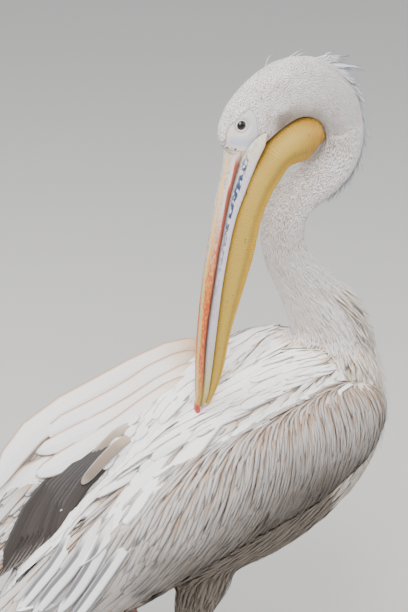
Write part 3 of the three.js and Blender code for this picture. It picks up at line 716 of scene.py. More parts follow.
eye_finish, tree, shader = new_finish("dark moist eye")
from_axis = off_axis(tree, place_in(tree, BILL_BASE, head_axes), EYE_ALONG, EYE_UP)
iris = add_node(
    tree, "ValToRGB", inputs={"Fac": share_of(tree, (from_axis, 0.0, EYE_RADIUS, LINEAR))},
    stops=[(0.0, 0x050406), (0.36, 0x07050A), (0.42, 0x1C0E14), (0.62, 0x160B16), (0.75, 0x0C070C)],
)
finish_shader(tree, shader, iris, 0.16, None, Coat_Weight=0.6, Coat_Roughness=0.05, IOR=1.38)
for side_name, side in SIDES.items():
    centre = on_head([EYE_ALONG, side * EYE_SIDE, EYE_UP])
    bpy.ops.mesh.primitive_uv_sphere_add(segments=40, ring_count=24, radius=EYE_RADIUS * MM)
    ball = bpy.context.object
    ball.name = "eyeball_" + side_name
    pole = Vector(head_axes[1] * side)
    ball.data.transform(pole.to_track_quat("Z", "Y").to_matrix().to_4x4())
    ball.data.transform(Matrix.Translation(centre))
    bpy.ops.object.shade_smooth()
    finish_piece(ball, eye_finish, "eye", "eye_" + side_name)

# %% [markdown]
# The legs are bare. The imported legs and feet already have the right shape, but with flat facets,
# so a merged copy of each is swollen a hair, melted into one by a voxel remesh, smoothed, and
# given the low domes of its scales. What stood on the floor is pressed flat again.

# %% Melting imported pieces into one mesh
def work_on(piece):
    """Makes one object the only selected and the active one, as the operators want it."""
    bpy.ops.object.select_all(action="DESELECT")
    piece.select_set(True)
    bpy.context.view_layer.objects.active = piece


def modify(piece, kind, **settings):
    """Adds a modifier and applies it at once."""
    work_on(piece)
    modifier = piece.modifiers.new(kind, kind)
    for name, value in settings.items():
        setattr(modifier, name, value)
    bpy.ops.object.modifier_apply(modifier=modifier.name)


def melted_copy(name, sources, swell, voxel, smoothing):
    """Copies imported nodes, merges and swells them, and melts them into one closed mesh."""
    copies = []
    for source in sources:
        mesh = cad_nodes[source].data.copy()
        mesh.materials.clear()
        work = bmesh.new()
        work.from_mesh(mesh)
        bmesh.ops.remove_doubles(work, verts=work.verts, dist=0.02 * MM)
        work.normal_update()
        for vertex in work.verts:
            vertex.co += vertex.normal * swell
        work.to_mesh(mesh)
        work.free()
        piece = bpy.data.objects.new(name, mesh)
        bpy.context.scene.collection.objects.link(piece)
        copies.append(piece)
    work_on(copies[0])
    for piece in copies:
        piece.select_set(True)
    bpy.ops.object.join()
    melted = bpy.context.object
    modify(melted, "REMESH", mode="VOXEL", voxel_size=voxel)
    modify(melted, "SMOOTH", factor=0.5, iterations=smoothing)
    bpy.ops.object.shade_smooth()
    melted.name = name
    return melted


print("packed legs:", [n for n in sorted(cad_nodes) if n.startswith(("shank", "foot"))])

# %% [markdown]
# The hide of the legs is pink flesh with paler blotches, covered in small rounded scales. A
# Voronoi pattern draws the darker seams between them, and its bump makes each scale stand up. The
# hide is matt and a little translucent, and it is greyer at the floor. A claw is hard horn: dark,
# streaked along its length, and shinier than the hide.

# %% Finishes of the legs and claws
SCALE_SEAM = 2.6  # millimetres from seam to seam


leg_hide, tree, shader = new_finish("scaly leg skin")
here = add_node(tree, "TexCoord", out="Object")
inputs = {"Vector": here, "Scale": 1 / (SCALE_SEAM * MM), "Randomness": 0.75}
cells = add_node(tree, "TexVoronoi", {"feature": "DISTANCE_TO_EDGE"}, inputs)
seams = share_of(tree, (cells, 0.02, 0.14))
blotch = add_node(tree, "TexNoise", inputs={"Vector": here, "Scale": 45.0})
height = add_node(tree, "SeparateXYZ", inputs={0: here}, out=2)
colour = painted(
    tree, 0xA9565A,
    (0xC27F72, (blotch, 0.35, 0.65, LINEAR)),
    (0x8A6A5C, (height, 0.006, 0.0, LINEAR)),
    (0x6E3436, (seams, 1.0, 0.0, LINEAR), 0.55),
)
finish_shader(
    tree, shader, colour, 0.5, seams, 0.0004, Subsurface_Weight=0.08, Subsurface_Scale=0.002
)

claw_horn, tree, shader = new_finish("dark claw keratin")
track = add_node(tree, "Attribute", {"attribute_name": "track"}, out="Vector")
along = add_node(tree, "SeparateXYZ", inputs={0: track}, out=0)
here = add_node(tree, "TexCoord", out="Object")
streaks = add_node(tree, "TexNoise", inputs={"Vector": here, "Scale": 700.0})
colour = painted(
    tree, 0x8D7461, (0x3A2F2B, (along, 0.2, 0.9, LINEAR)), (0xA08C78, streaks, 0.3)
)
finish_shader(tree, shader, colour, 0.38, streaks, 0.0001, IOR=HORN_IOR)

print("finishes:", leg_hide.name, "and", claw_horn.name)

# %% Legs, feet and claws
DOME_TURN, DOME_RISE = 8 / 4.2, 0.0875  # radians per mm, which puts them 3.3 mm apart, and mm
ANKLE = np.array([-26.0, 72.0])
TOES = {  # length, heading outward in degrees
    "outer": (112, 32), "middle": (121, 6), "inner": (95, -23), "hind": (52, -78),
}
CLAW = [  # share of the toe's length, height, half width, half height
    (0.92, 4.0, 2.4, 3.0), (0.96, 4.3, 2.5, 3.1), (1.0, 4.6, 2.2, 2.8), (1.07, 3.4, 1.4, 1.8),
    (1.11, 1.6, 0.8, 0.9), (1.12, 1.1, 0.35, 0.4),
]
for side_name, side in SIDES.items():
    nodes = ["shank_" + side_name, "foot_" + side_name]
    leg = melted_copy("leg_skin_" + side_name, nodes, 0.35 * MM, 1.25 * MM, 7)
    shape = points_of(leg.data)
    domes = np.cos(shape[:, :2] * DOME_TURN / MM).prod(axis=1)
    shape += normals_of(leg.data) * (domes * DOME_RISE * MM)[:, None]
    shape[:, 2] = np.maximum(shape[:, 2], 0)
    set_points(leg.data, shape)
    finish_piece(leg, leg_hide, "leg_skin", *nodes)
    for toe, (length, heading) in TOES.items():
        way = math.radians(heading)
        ahead = np.array([math.cos(way), side * math.sin(way), 0])
        toe_axes = np.stack([ahead, [-ahead[1], ahead[0], 0], [0, 0, 1]])
        start = np.array([ANKLE[0], side * ANKLE[1], 0])

        def on_toe(points):
            """Points in the toe's millimetres, as metres in the model's frame."""
            return place(start + np.asarray(points, float) @ toe_axes)

        rows = [(share * length, up, wide, tall) for share, up, wide, tall in CLAW]
        claw = bent_loft(f"claw_{side_name}_{toe}_horn", rows, 16, 14, on_toe)
        finish_piece(claw, claw_horn, "claw", f"claw_{side_name}_{toe}")

# %% [markdown]
# One skin covers the whole feathered body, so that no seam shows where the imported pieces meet.
# The flesh nodes are melted together in the same way. Then the skin is drawn in by the depth of
# the coat, which is half a millimetre on the head and seven on the trunk, and less where a wing
# is thin, so that the feathers laid over it come out to the true outline. Where a wing lies
# against the trunk or the shoulder feathers, the skin sinks in a furrow, as the coat parts there.

# %% The skin
FLESH = [n for n in sorted(cad_nodes) if n.split("_")[0] in
         ("trunk", "neck", "head", "scapulars", "wing", "thigh")]
SKIN_VOXEL, SKIN_SWELL, SKIN_SMOOTHING = 4.0 * MM, 0.9 * MM, 5
COAT_DEPTH = {"head": 0.6, "neck_upper": 1.2, "neck_lower": 3.0, "trunk": 7.0, "thigh": 4.5}
WING_DEPTH_FRONT, WING_DEPTH_REAR = 5.5, 3.5
WING_FRONT, WING_REAR = 40.0, -180.0  # along the trunk, where it is that deep
THICKNESS_SHARE = 0.27  # of a thin part that the coat may take on each face
FURROW_DEPTH, FURROW_WIDTH = 5.5, 9.0  # mm, where two parts of the bird meet
FURROW_END = -90.0  # along the trunk

skin = melted_copy("skin", FLESH, SKIN_SWELL, SKIN_VOXEL, SKIN_SMOOTHING)
work_on(skin)
bpy.ops.object.mode_set(mode="EDIT")
bpy.ops.mesh.separate(type="LOOSE")
bpy.ops.object.mode_set(mode="OBJECT")
parts = sorted(bpy.context.selected_objects, key=lambda o: len(o.data.vertices))
skin = parts.pop()
for part in parts:
    bpy.data.objects.remove(part)
skin.name = "skin"

# The face needs finer points for its lids and folds.
FACE_LOW, FACE_HIGH = np.array([-60.0, -60.0, -18.0]), np.array([14.0, 60.0, 42.0])
work = bmesh.new()
work.from_mesh(skin.data)
local = seen_from([v.co[:] for v in work.verts], BILL_BASE, head_axes)
in_face = ((local > FACE_LOW) & (local < FACE_HIGH)).all(axis=1)
work.verts.ensure_lookup_table()
edges = [e for e in work.edges if in_face[e.verts[0].index] and in_face[e.verts[1].index]]
bmesh.ops.subdivide_edges(work, edges=edges, cuts=2, use_grid_fill=True)
local = seen_from([v.co[:] for v in work.verts], BILL_BASE, head_axes)
work.verts.ensure_lookup_table()
in_face = ((local > FACE_LOW + 3) & (local < FACE_HIGH - 3)).all(axis=1)
face_points = [v for v, inside in zip(work.verts, in_face) if inside]
for _ in range(14):
    bmesh.ops.smooth_vert(
        work, verts=face_points, factor=0.5, use_axis_x=True, use_axis_y=True, use_axis_z=True
    )
work.to_mesh(skin.data)
work.free()
print("skin:", len(skin.data.vertices), "points")


# %% [markdown]
# The coat's depth and its direction change from part to part. So each point of the skin asks
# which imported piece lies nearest, with a search tree over their triangles, and what it is told
# is then evened out over the mesh, so that no border shows.

# %% Which part of the bird each point of the skin belongs to
def joined_tree(names):
    """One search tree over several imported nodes, and the node that each triangle is from."""
    points, triangles, owner = [], [], []
    for label, name in enumerate(names):
        mesh = cad_nodes[name].data
        mesh.calc_loop_triangles()
        start = len(points)
        points += [v.co[:] for v in mesh.vertices]
        triangles += [[start + i for i in t.vertices] for t in mesh.loop_triangles]
        owner += [label] * len(mesh.loop_triangles)
    return BVHTree.FromPolygons(points, triangles), np.array(owner)


def spread(values, edges, rounds):
    """Evens out values over a mesh: each point moves halfway to the mean of its neighbours."""
    values = np.array(values, float)
    a, b = edges[:, 0], edges[:, 1]
    count = np.bincount(a, minlength=len(values)) + np.bincount(b, minlength=len(values))
    count = np.maximum(count, 1)
    columns = values.reshape(len(values), -1)
    for _ in range(rounds):
        total = np.stack(
            [
                np.bincount(a, columns[b, k], len(columns)) + np.bincount(b, columns[a, k], len(columns))
                for k in range(columns.shape[1])
            ],
            axis=1,
        )
        columns = (columns + total / count[:, None]) / 2
    return columns.reshape(values.shape)


flesh_tree, flesh_owner = joined_tree(FLESH)
print("flesh:", len(FLESH), "packed nodes,", len(flesh_owner), "triangles")

# %% Drawing the skin in by the coat's depth
shape = points_of(skin.data)
owner = flesh_owner[[flesh_tree.find_nearest(p)[2] for p in shape.tolist()]]
edges = np.empty(len(skin.data.edges) * 2, np.int32)
skin.data.edges.foreach_get("vertices", edges)
edges = edges.reshape(-1, 2)
on_trunk = seen_from(shape, BODY_CENTRE, body_axes)

depth = np.zeros(len(shape))
for label, name in enumerate(FLESH):
    mine = owner == label
    key = name if name in COAT_DEPTH else name.split("_")[0]
    if key in COAT_DEPTH:
        depth[mine] = COAT_DEPTH[key]
    else:
        rear = np.clip((WING_FRONT - on_trunk[mine, 0]) / (WING_FRONT - WING_REAR), 0, 1)
        depth[mine] = WING_DEPTH_FRONT + (WING_DEPTH_REAR - WING_DEPTH_FRONT) * rear
depth = spread(depth, edges, 40)
normals = normals_of(skin.data)
skin_tree = BVHTree.FromObject(skin, bpy.context.evaluated_depsgraph_get())
thickness = []
for point, normal in zip((shape - normals * 0.2 * MM).tolist(), (-normals).tolist()):
    distance = skin_tree.ray_cast(point, normal, 0.2)[3]
    thickness.append(200.0 if distance is None else distance / MM)
depth = np.minimum(depth, THICKNESS_SHARE * np.array(thickness))
depth = spread(depth, edges, 6)
# Where one part of the bird lies against another, the coat parts in a furrow.
GROUPS = {"head": 0, "neck": 0, "trunk": 1, "scapulars": 1, "thigh": 2}
group = np.array([GROUPS.get(n.split("_")[0], 3 + FLESH.index(n)) for n in FLESH])[owner]
meets = group[edges[:, 0]] != group[edges[:, 1]]
furrowed = meets & (group[edges].max(axis=1) > 2) & (on_trunk[edges[:, 0], 0] > FURROW_END)
seam = KDTree(int(furrowed.sum()))
for i, point in enumerate(shape[edges[furrowed, 0]].tolist()):
    seam.insert(point, i)
seam.balance()
from_seam = np.array([seam.find(p)[2] for p in shape.tolist()]) / MM
furrow = np.exp(-(from_seam / FURROW_WIDTH) ** 2)
depth = depth + np.minimum(FURROW_DEPTH * furrow, 0.2 * np.array(thickness))
depth = spread(depth, edges, 3)
shape -= normals * (depth * MM)[:, None]
shape = spread(shape, edges, 2)
set_points(skin.data, shape)
print("coat depth from", round(depth.min(), 1), "to", round(depth.max(), 1), "mm")

# %% [markdown]
# The face is bare round the eye. The eyelids are a soft raised ring that overhangs the ball, a
# groove runs round outside it, and a second faint fold outside that. The points near each eye
# are moved sideways out of the head to make them, and a signed distance to the outline of the
# bare patch is stored on the skin, for its colour and its thin dark edge.

# %% The eyelids and the bare face
BARE_PATCH = [  # along the bill and up, in the head's millimetres
    (-55.7, 4), (-51.5, -3.5), (-45, -6.8), (-38, -8.8), (-27, -12), (-20, -15), (14, -15),
    (14, 25), (-5, 26.4), (-17, 28.4), (-26, 26.4), (-36, 21.2), (-47, 12.7),
]
LID_OPENING, LID_EDGE, LID_GROOVE, LID_FOLD = 6.2, 7.1, 9.2, 10.6  # mm from the eye's axis
LID_RISE, LID_GROOVE_DEPTH, LID_FOLD_RISE = 1.25, 0.75, 0.4  # mm out of the head or into it


def inside_distance(points, outline):
    """How far inside a closed outline each point lies, negative outside."""
    corners = np.array(outline, float)
    following = np.roll(corners, -1, axis=0)
    nearest = np.full(len(points), 1e9)
    inside = np.zeros(len(points), bool)
    for a, b in zip(corners, following):
        along = np.clip(((points - a) @ (b - a)) / ((b - a) @ (b - a)), 0, 1)
        nearest = np.minimum(nearest, np.linalg.norm(points - a - along[:, None] * (b - a), axis=1))
        crosses = (a[1] > points[:, 1]) != (b[1] > points[:, 1])
        rise = b[1] - a[1] if b[1] != a[1] else 1e-9
        inside ^= crosses & (points[:, 0] < a[0] + (points[:, 1] - a[1]) * (b[0] - a[0]) / rise)
    return np.where(inside, nearest, -nearest)


local = seen_from(shape, BILL_BASE, head_axes)
side_of = np.sign(local[:, 1])
from_eye = np.hypot(local[:, 0] - EYE_ALONG, local[:, 2] - EYE_UP)
rearward = np.clip((EYE_ALONG - local[:, 0]) / 6, 0, 1) * 0.9  # the lid is wider to the rear
out = np.abs(local[:, 1])
near_eye = (from_eye < 22) & (out > 9)
natural = out[near_eye & (from_eye > 10) & (from_eye < 13)].mean()
ball = EYE_SIDE + np.sqrt(np.maximum(EYE_RADIUS**2 - np.minimum(from_eye, 7.6) ** 2, 0))
lid_edge = LID_EDGE + 0.4 * rearward
lid = LID_RISE * np.exp(-(((from_eye - lid_edge) / 1.15) ** 2))
groove = -LID_GROOVE_DEPTH * np.exp(-(((from_eye - LID_GROOVE - rearward) / 0.8) ** 2))
fold = LID_FOLD_RISE * np.exp(-(((from_eye - LID_FOLD - rearward) / 0.9) ** 2))
socket = np.clip((14 - from_eye) / 6, 0, 1)
level = (1 - socket) * out + socket * np.maximum(out * 0.4 + 0.6 * natural, natural - 1)
level = np.where(from_eye < 9, np.maximum(level, ball.clip(max=22.2)), level)
target = level + lid + groove + fold
hole = np.clip((LID_OPENING + 0.35 - from_eye) / 0.5, 0, 1)
target = target * (1 - hole) + (ball - 2.2) * hole
local[near_eye, 1] = (side_of * target)[near_eye]
shape[near_eye] = on_head(local[near_eye])
set_points(skin.data, shape)
print("the face lies", round(natural, 1), "mm from the middle, the eye's front at",
      EYE_SIDE + EYE_RADIUS)

bare = inside_distance(local[:, [0, 2]], BARE_PATCH)
far_off = (local[:, 0] < -80) | (np.abs(local[:, 1]) > 50) | (local[:, 0] > 30)
bare = np.where(far_off, -60, bare)
for name, values in (("bare", bare), ("furrow", furrow)):
    stored = skin.data.attributes.new(name, "FLOAT", "POINT")
    stored.data.foreach_set("value", values.astype(np.float32))

# %% [markdown]
# The skin's own finish has two parts. Under the feathers it is off-white on the head, warm light
# brown on the body and browner in the furrows, as the shaded roots and down look between them.
# On the bare face it is smooth hide: whitish-beige, bluer before the eye, greyer behind and below
# it, with paler lids, and a thin dark line along its edge.

# %% Finish of the skin
BASE_DOTS = [(1.4, 23.0, 1.5), (1.2, 14.5, 2.1), (0.4, 18.8, 0.9)]  # along, up, radius in mm
SOFT_SPAN = 14.0  # mm round the eye, over which the lids' colours run

skin_hide, tree, shader = new_finish("facial skin and feather roots")
where = place_in(tree, BILL_BASE, head_axes)
along, _, up = add_node(tree, "SeparateXYZ", inputs={0: where}).node.outputs
patch, rift = (
    add_node(tree, "Attribute", {"attribute_name": n}, out="Fac") for n in ("bare", "furrow")
)
off_edge = add_node(tree, "Math", {"operation": "ABSOLUTE"}, {0: patch})
off_head = add_node(tree, "VectorMath", {"operation": "LENGTH"}, {0: where}, out="Value")
mottle = stretched_noise(tree, where, 1.0, 0.22, 4.0)
behind = share_of(tree, (along, -27.0, -44.0), (up, 26.0, 14.0))
behind = add_node(
    tree, "Math", {"operation": "MAXIMUM"}, {0: behind, 1: share_of(tree, (up, 4.0, -6.0))}
)
from_eye = off_axis(tree, where, EYE_ALONG, EYE_UP)
lids = add_node(
    tree, "ValToRGB", inputs={"Fac": share_of(tree, (from_eye, 0.0, SOFT_SPAN, LINEAR))},
    stops=[(0.43, 0x4E3A3C), (0.47, 0xEAE3DA), (0.57, 0xE8E0D6), (0.63, 0x8A8290),
           (0.69, 0xC6C4C6), (0.78, 0xD2CECC)],
)
face = painted(
    tree, 0xE6DCD4,
    (0xDCCFC8, mottle),
    (0xCACDD0, behind, 0.85),
    (0xB7BFD4, (along, -19.0, -11.0), (along, -2.0, -6.0), (up, 28.0, 20.0), 0.8),
    (lids, (from_eye, 12.6, 10.0)),
)
feathered = painted(
    tree, 0xECE4DF, (0xE4DAD5, mottle), (0xE0C4AC, (off_head, 150.0, 320.0)), (0xC99C70, rift, 0.8)
)
dots = [
    (0x3A2748, (off_axis(tree, where, dot_along, dot_up), radius, radius * 0.5, LINEAR), 0.9)
    for dot_along, dot_up, radius in BASE_DOTS
]
colour = painted(
    tree, feathered,
    (face, (patch, -0.3, 0.3, LINEAR)),
    (0x857070, (off_edge, 0.75, 0.25, LINEAR), 0.75),
    # A thin line where the face meets the bill.
    (0xA88468, (along, 1.6, 3.0, LINEAR), (along, 5.6, 4.2, LINEAR), 0.6),
    (0xDDD0C8, (along, 4.4, 5.6, LINEAR)),
    *dots,
)
pores = add_node(tree, "TexNoise", inputs={"Vector": where, "Scale": 1.1, "Detail": 3.0})
finish_shader(
    tree, shader, colour, 0.62, pores, 0.0005,
    Subsurface_Weight=0.05, Subsurface_Scale=0.002, IOR=1.4,
)
work_on(skin)
bpy.ops.object.mode_set(mode="EDIT")
bpy.ops.mesh.select_all(action="SELECT")
bpy.ops.uv.smart_project(angle_limit=math.radians(72), island_margin=0.001)
bpy.ops.object.mode_set(mode="OBJECT")
skin.data.uv_layers.active.name = "OFBake"
finish_piece(skin, skin_hide, "plumage", *FLESH)

# %% [markdown]
# Every feather lies the way the coat flows. On the neck it runs from the bill over the crown and
# down to the shoulders; on the trunk it fans out from the neck and turns towards the tail; on a
# folded wing it falls steeply at the wrist and flattens towards the tip; on the thigh it runs
# down. This direction is worked out at each point of the skin and then evened out over it.

# %% Which way the coat lies
NECK_LINE = np.array([  # the middle of the neck and head, from the shoulders to the bill
    (226, 0, 470), (208, 0, 538), (184, 0, 580), (157, 0, 620), (137, 0, 652), (129, -2, 686),
    (134, -5, 724), (159, -7, 750), (190, -8, 768), (214, -8, 788), (224, -8, 814),
    (220, -8, 840), (206, -8, 869), (176, -8, 896), (135, -8, 903), (94, -8, 887),
    (66, -8, 861), (54, -8, 836),
], float)
BACK_ROOT = np.array([200.0, 0.0, 560.0])  # the back's feathers fan out from here
WING_FALL = [
    # along the trunk, and how many degrees below its axis the wing's feathers fall: at the
    # wing's upper edge, and at its lower edge
    (-470, 4, 2), (-420, 6, 4), (-330, 14, 6), (-250, 28, 8), (-150, 45, 12), (0, 60, 22),
    (130, 72, 40), (235, 80, 66),
]
WING_EDGES = [  # along the trunk, the lower and the upper edge of the folded wing
    (-470, 12, 30), (-370, -14, 50), (-250, -27, 72), (-150, -24, 92), (-50, -30, 102),
    (50, -48, 97), (160, -52, 75), (208, -32, 52), (232, -2, 24),
]
INNER_FALL = 8.0  # degrees, on the face of the wing that is turned to the back
FAN_REACH = 150.0  # mm from that root over which the fan gives way to the trunk's own direction
BREAST_FROM, BREAST_LENGTH, BREAST_FALL = 120.0, 100.0, 0.45  # the coat sags in front of there
SCAPULAR_TURN = 0.24  # how much the shoulder feathers turn to the middle of the back
THIGH_WAY = (-0.34, 0.06, -0.94)

line_at = np.linspace(0, len(NECK_LINE) - 1, 240)
neck_line = smooth_table(np.column_stack([np.arange(len(NECK_LINE)), NECK_LINE]), line_at)
neck_ways = unit(np.gradient(neck_line, axis=0))
down = np.array([0.0, 0.0, -1.0])

shape, normals = points_of(skin.data), normals_of(skin.data)
bird = (shape - SHIFT) / MM
on_trunk = seen_from(shape, BODY_CENTRE, body_axes)
flow = np.zeros_like(shape)
nearest_line = np.zeros(len(shape), int)
for start in range(0, len(bird), 20000):
    chunk = bird[start:start + 20000]
    nearest_line[start:start + 20000] = np.argmin(
        ((chunk[:, None, :] - neck_line[None]) ** 2).sum(axis=2), axis=1
    )
label_of = {name: label for label, name in enumerate(FLESH)}


def is_part(*names):
    """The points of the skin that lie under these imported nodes."""
    return np.isin(owner, [label_of[n] for n in names])


neck = is_part("head", "neck_upper", "neck_lower")
flow[neck] = -neck_ways[nearest_line[neck]]
trunk = is_part("trunk")
away = bird[trunk] - BACK_ROOT
reach = np.linalg.norm(away, axis=1, keepdims=True)
near = np.exp(-reach / FAN_REACH)
breast = np.clip((on_trunk[trunk, :1] - BREAST_FROM) / BREAST_LENGTH, 0, 1)
flow[trunk] = near * away / reach + (1 - near) * -FORWARD + BREAST_FALL * breast * down
for name, side in SIDES.items():
    wing = is_part("wing_" + name)
    steep, flat = smooth_table(WING_FALL, on_trunk[wing, 0]).T
    low, high = smooth_table(WING_EDGES, on_trunk[wing, 0]).T
    height = np.clip((on_trunk[wing, 2] - low) / (high - low), 0, 1)
    outward = np.clip(0.45 + 1.6 * side * normals[wing, 1], 0, 1)
    fall = flat + (steep - flat) * height
    fall = np.radians(INNER_FALL + (fall - INNER_FALL) * outward)[:, None]
    flow[wing] = -np.cos(fall) * FORWARD - np.sin(fall) * UPWARD
    flow[is_part("scapulars_" + name)] = -FORWARD - SCAPULAR_TURN * side * LEFT
    flow[is_part("thigh_" + name)] = np.array(THIGH_WAY) * [1, side, 1]
own_way = flow.copy()
flow = spread(unit(flow), edges, 26)
smooth_rows = is_part("scapulars_left", "scapulars_right")
flow[smooth_rows] = 0.2 * flow[smooth_rows] + 0.8 * own_way[smooth_rows]
flow = spread(flow, edges, 4)
flow -= (flow * normals).sum(axis=1, keepdims=True) * normals
flow = unit(flow)
print("flow ready on", len(flow), "points")

# %% [markdown]
# A feather is one thin closed blade. It starts at a root on the skin, walks over the skin along
# the flow, and rises from the root to the coat's depth at its tip, so each one lies over those
# behind it like a roof tile. All that it needs is read from the skin once: for each triangle its
# corners, area, direction and flow, and its place on the unwrap, where each feather gets a small
# patch of its own. A feather's shape is two short lists, its outline and its section.

# %% The skin's triangles, and the outlines and sections of feathers
BLUNT = 0.66  # how squarely a triangle may meet the coat's way before the body ends there
PATCH = 0.003  # width of a feather's patch on the unwrap
BOX_ROOM = 0.009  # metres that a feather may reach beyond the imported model's box

mesh = skin.data
mesh.calc_loop_triangles()
triangles = np.empty(len(mesh.loop_triangles) * 3, np.int32)
mesh.loop_triangles.foreach_get("vertices", triangles)
triangles = triangles.reshape(-1, 3)
triangle_loops = np.empty(len(mesh.loop_triangles) * 3, np.int32)
mesh.loop_triangles.foreach_get("loops", triangle_loops)
skin_uv = np.empty(len(mesh.loops) * 2, np.float32)
mesh.uv_layers["OFBake"].data.foreach_get("uv", skin_uv)
triangle_uv = skin_uv.reshape(-1, 2)[triangle_loops].reshape(-1, 3, 2)
corner_points = shape[triangles]
cross = np.cross(corner_points[:, 1] - corner_points[:, 0], corner_points[:, 2] - corner_points[:, 0])
triangle_area = np.linalg.norm(cross, axis=1) / 2 / MM**2
triangle_up = unit(normals[triangles].mean(axis=1))
triangle_flow = unit(flow[triangles].mean(axis=1))
blunt_end = (unit(own_way) * normals).sum(axis=1)[triangles].mean(axis=1) > BLUNT
skin_tree = BVHTree.FromPolygons(shape.tolist(), triangles.tolist())
LEAST, MOST = np.array(cad_low) - BOX_ROOM, np.array(cad_high) + BOX_ROOM

# Outlines: (place from root to tip, share of the full width).
TUFT = ((0, 0.7), (0.5, 1), (1, 0))
STRAND = ((0, 0.5), (0.22, 1), (0.5, 0.95), (0.75, 0.66), (1, 0))
LANCET = ((0, 0.5), (0.3, 1), (0.66, 0.78), (1, 0))
PLUME = ((0, 0.4), (0.2, 0.9), (0.5, 1), (0.8, 0.72), (1, 0))
BLADE = ((0, 0.35), (0.1, 0.75), (0.3, 0.95), (0.6, 1), (0.82, 0.9), (0.93, 0.62), (1, 0))
QUILL = ((0, 0.3), (0.06, 0.7), (0.15, 0.92), (0.3, 1), (0.45, 1), (0.6, 1), (0.75, 0.97),
         (0.86, 0.86), (0.94, 0.62), (0.98, 0.36), (1, 0))
# Sections: (place across, height as a share of the thickness), from left over the top.
RIDGED = ((-1, 0), (0, 1), (1, 0))
LENS = ((-1, 0), (0, 1), (1, 0), (0, -0.35))
VANE = ((-1, -0.7), (-0.55, 0.35), (0, 1), (0.55, 0.35), (1, -0.7), (0, -0.4))
BROAD = ((-1, -1.6), (-0.7, -0.5), (-0.35, 0.35), (0, 1.0), (0.35, 0.35), (0.7, -0.5),
         (1, -1.6), (0.5, -0.9), (0, -0.2), (-0.5, -0.9))
print("skin area", round(triangle_area.sum() / 1e6, 2), "square metres")


# %% [markdown]
# Feathers grow at an even distance from each other, but not in straight lines. So we throw many
# roots on the skin by area, and each one that stays drives its near neighbours away. Where
# another part of the bird lies close above the skin there is no room, and none stay.

# %% Scattering roots
def on_skin(points):
    """The nearest places on the skin, and the triangles that they lie on."""
    found = [skin_tree.find_nearest(p) for p in points.tolist()]
    return np.array([f[0][:] for f in found]), np.array([f[2] for f in found])


def roots_at(face, weights):
    """Roots on given triangles, by their corners' weights."""
    return {
        "place": (corner_points[face] * weights[:, :, None]).sum(axis=1),
        "face": face,
        "up": triangle_up[face],
        "uv": (triangle_uv[face] * weights[:, :, None]).sum(axis=1),
    }


def scatter(keep, spacing, seed, room):
    """Roots about spacing millimetres apart on the triangles to keep, where they have room."""
    rng = np.random.default_rng(seed)
    faces = np.flatnonzero(keep[triangles].mean(axis=1) > 0.5)
    area = triangle_area[faces]
    count = int(area.sum() / spacing**2 * 3.2)
    face = rng.choice(faces, count, p=area / area.sum())
    a, b = np.sqrt(rng.random(count)), rng.random(count)
    roots = roots_at(face, np.column_stack([1 - a, a * (1 - b), a * b]))
    tree = KDTree(count)
    for i, point in enumerate(roots["place"].tolist()):
        tree.insert(point, i)
    tree.balance()
    free = np.ones(count, bool)
    chosen = []
    start = (roots["place"] + roots["up"] * 2 * MM).tolist()
    ways = roots["up"].tolist()
    for i, point in enumerate(roots["place"].tolist()):
        if not free[i]:
            continue
        for _, j, _ in tree.find_range(point, spacing * MM):
            free[j] = False
        if skin_tree.ray_cast(start[i], ways[i], room * MM)[0] is None:
            chosen.append(i)
    return {key: values[chosen] for key, values in roots.items()}


print("the unwrap reaches", skin_uv.reshape(-1, 2).min(axis=0), "to", skin_uv.reshape(-1, 2).max(axis=0))

# %% [markdown]
# One feather could be copied everywhere, but a real one bends with the body under it. So all the
# feathers of a piece walk together: each takes a step along the flow, lands on the skin again,
# and is lifted by its height. Then a ring of points is laid round each middle line.

# %% Laying feathers
# A step has left the skin if it lands further off than this share of it and this room, or if the
# skin bends more than this.
OFF_SHARE, OFF_ROOM, BEND = 0.45, 2 * MM, 0.3


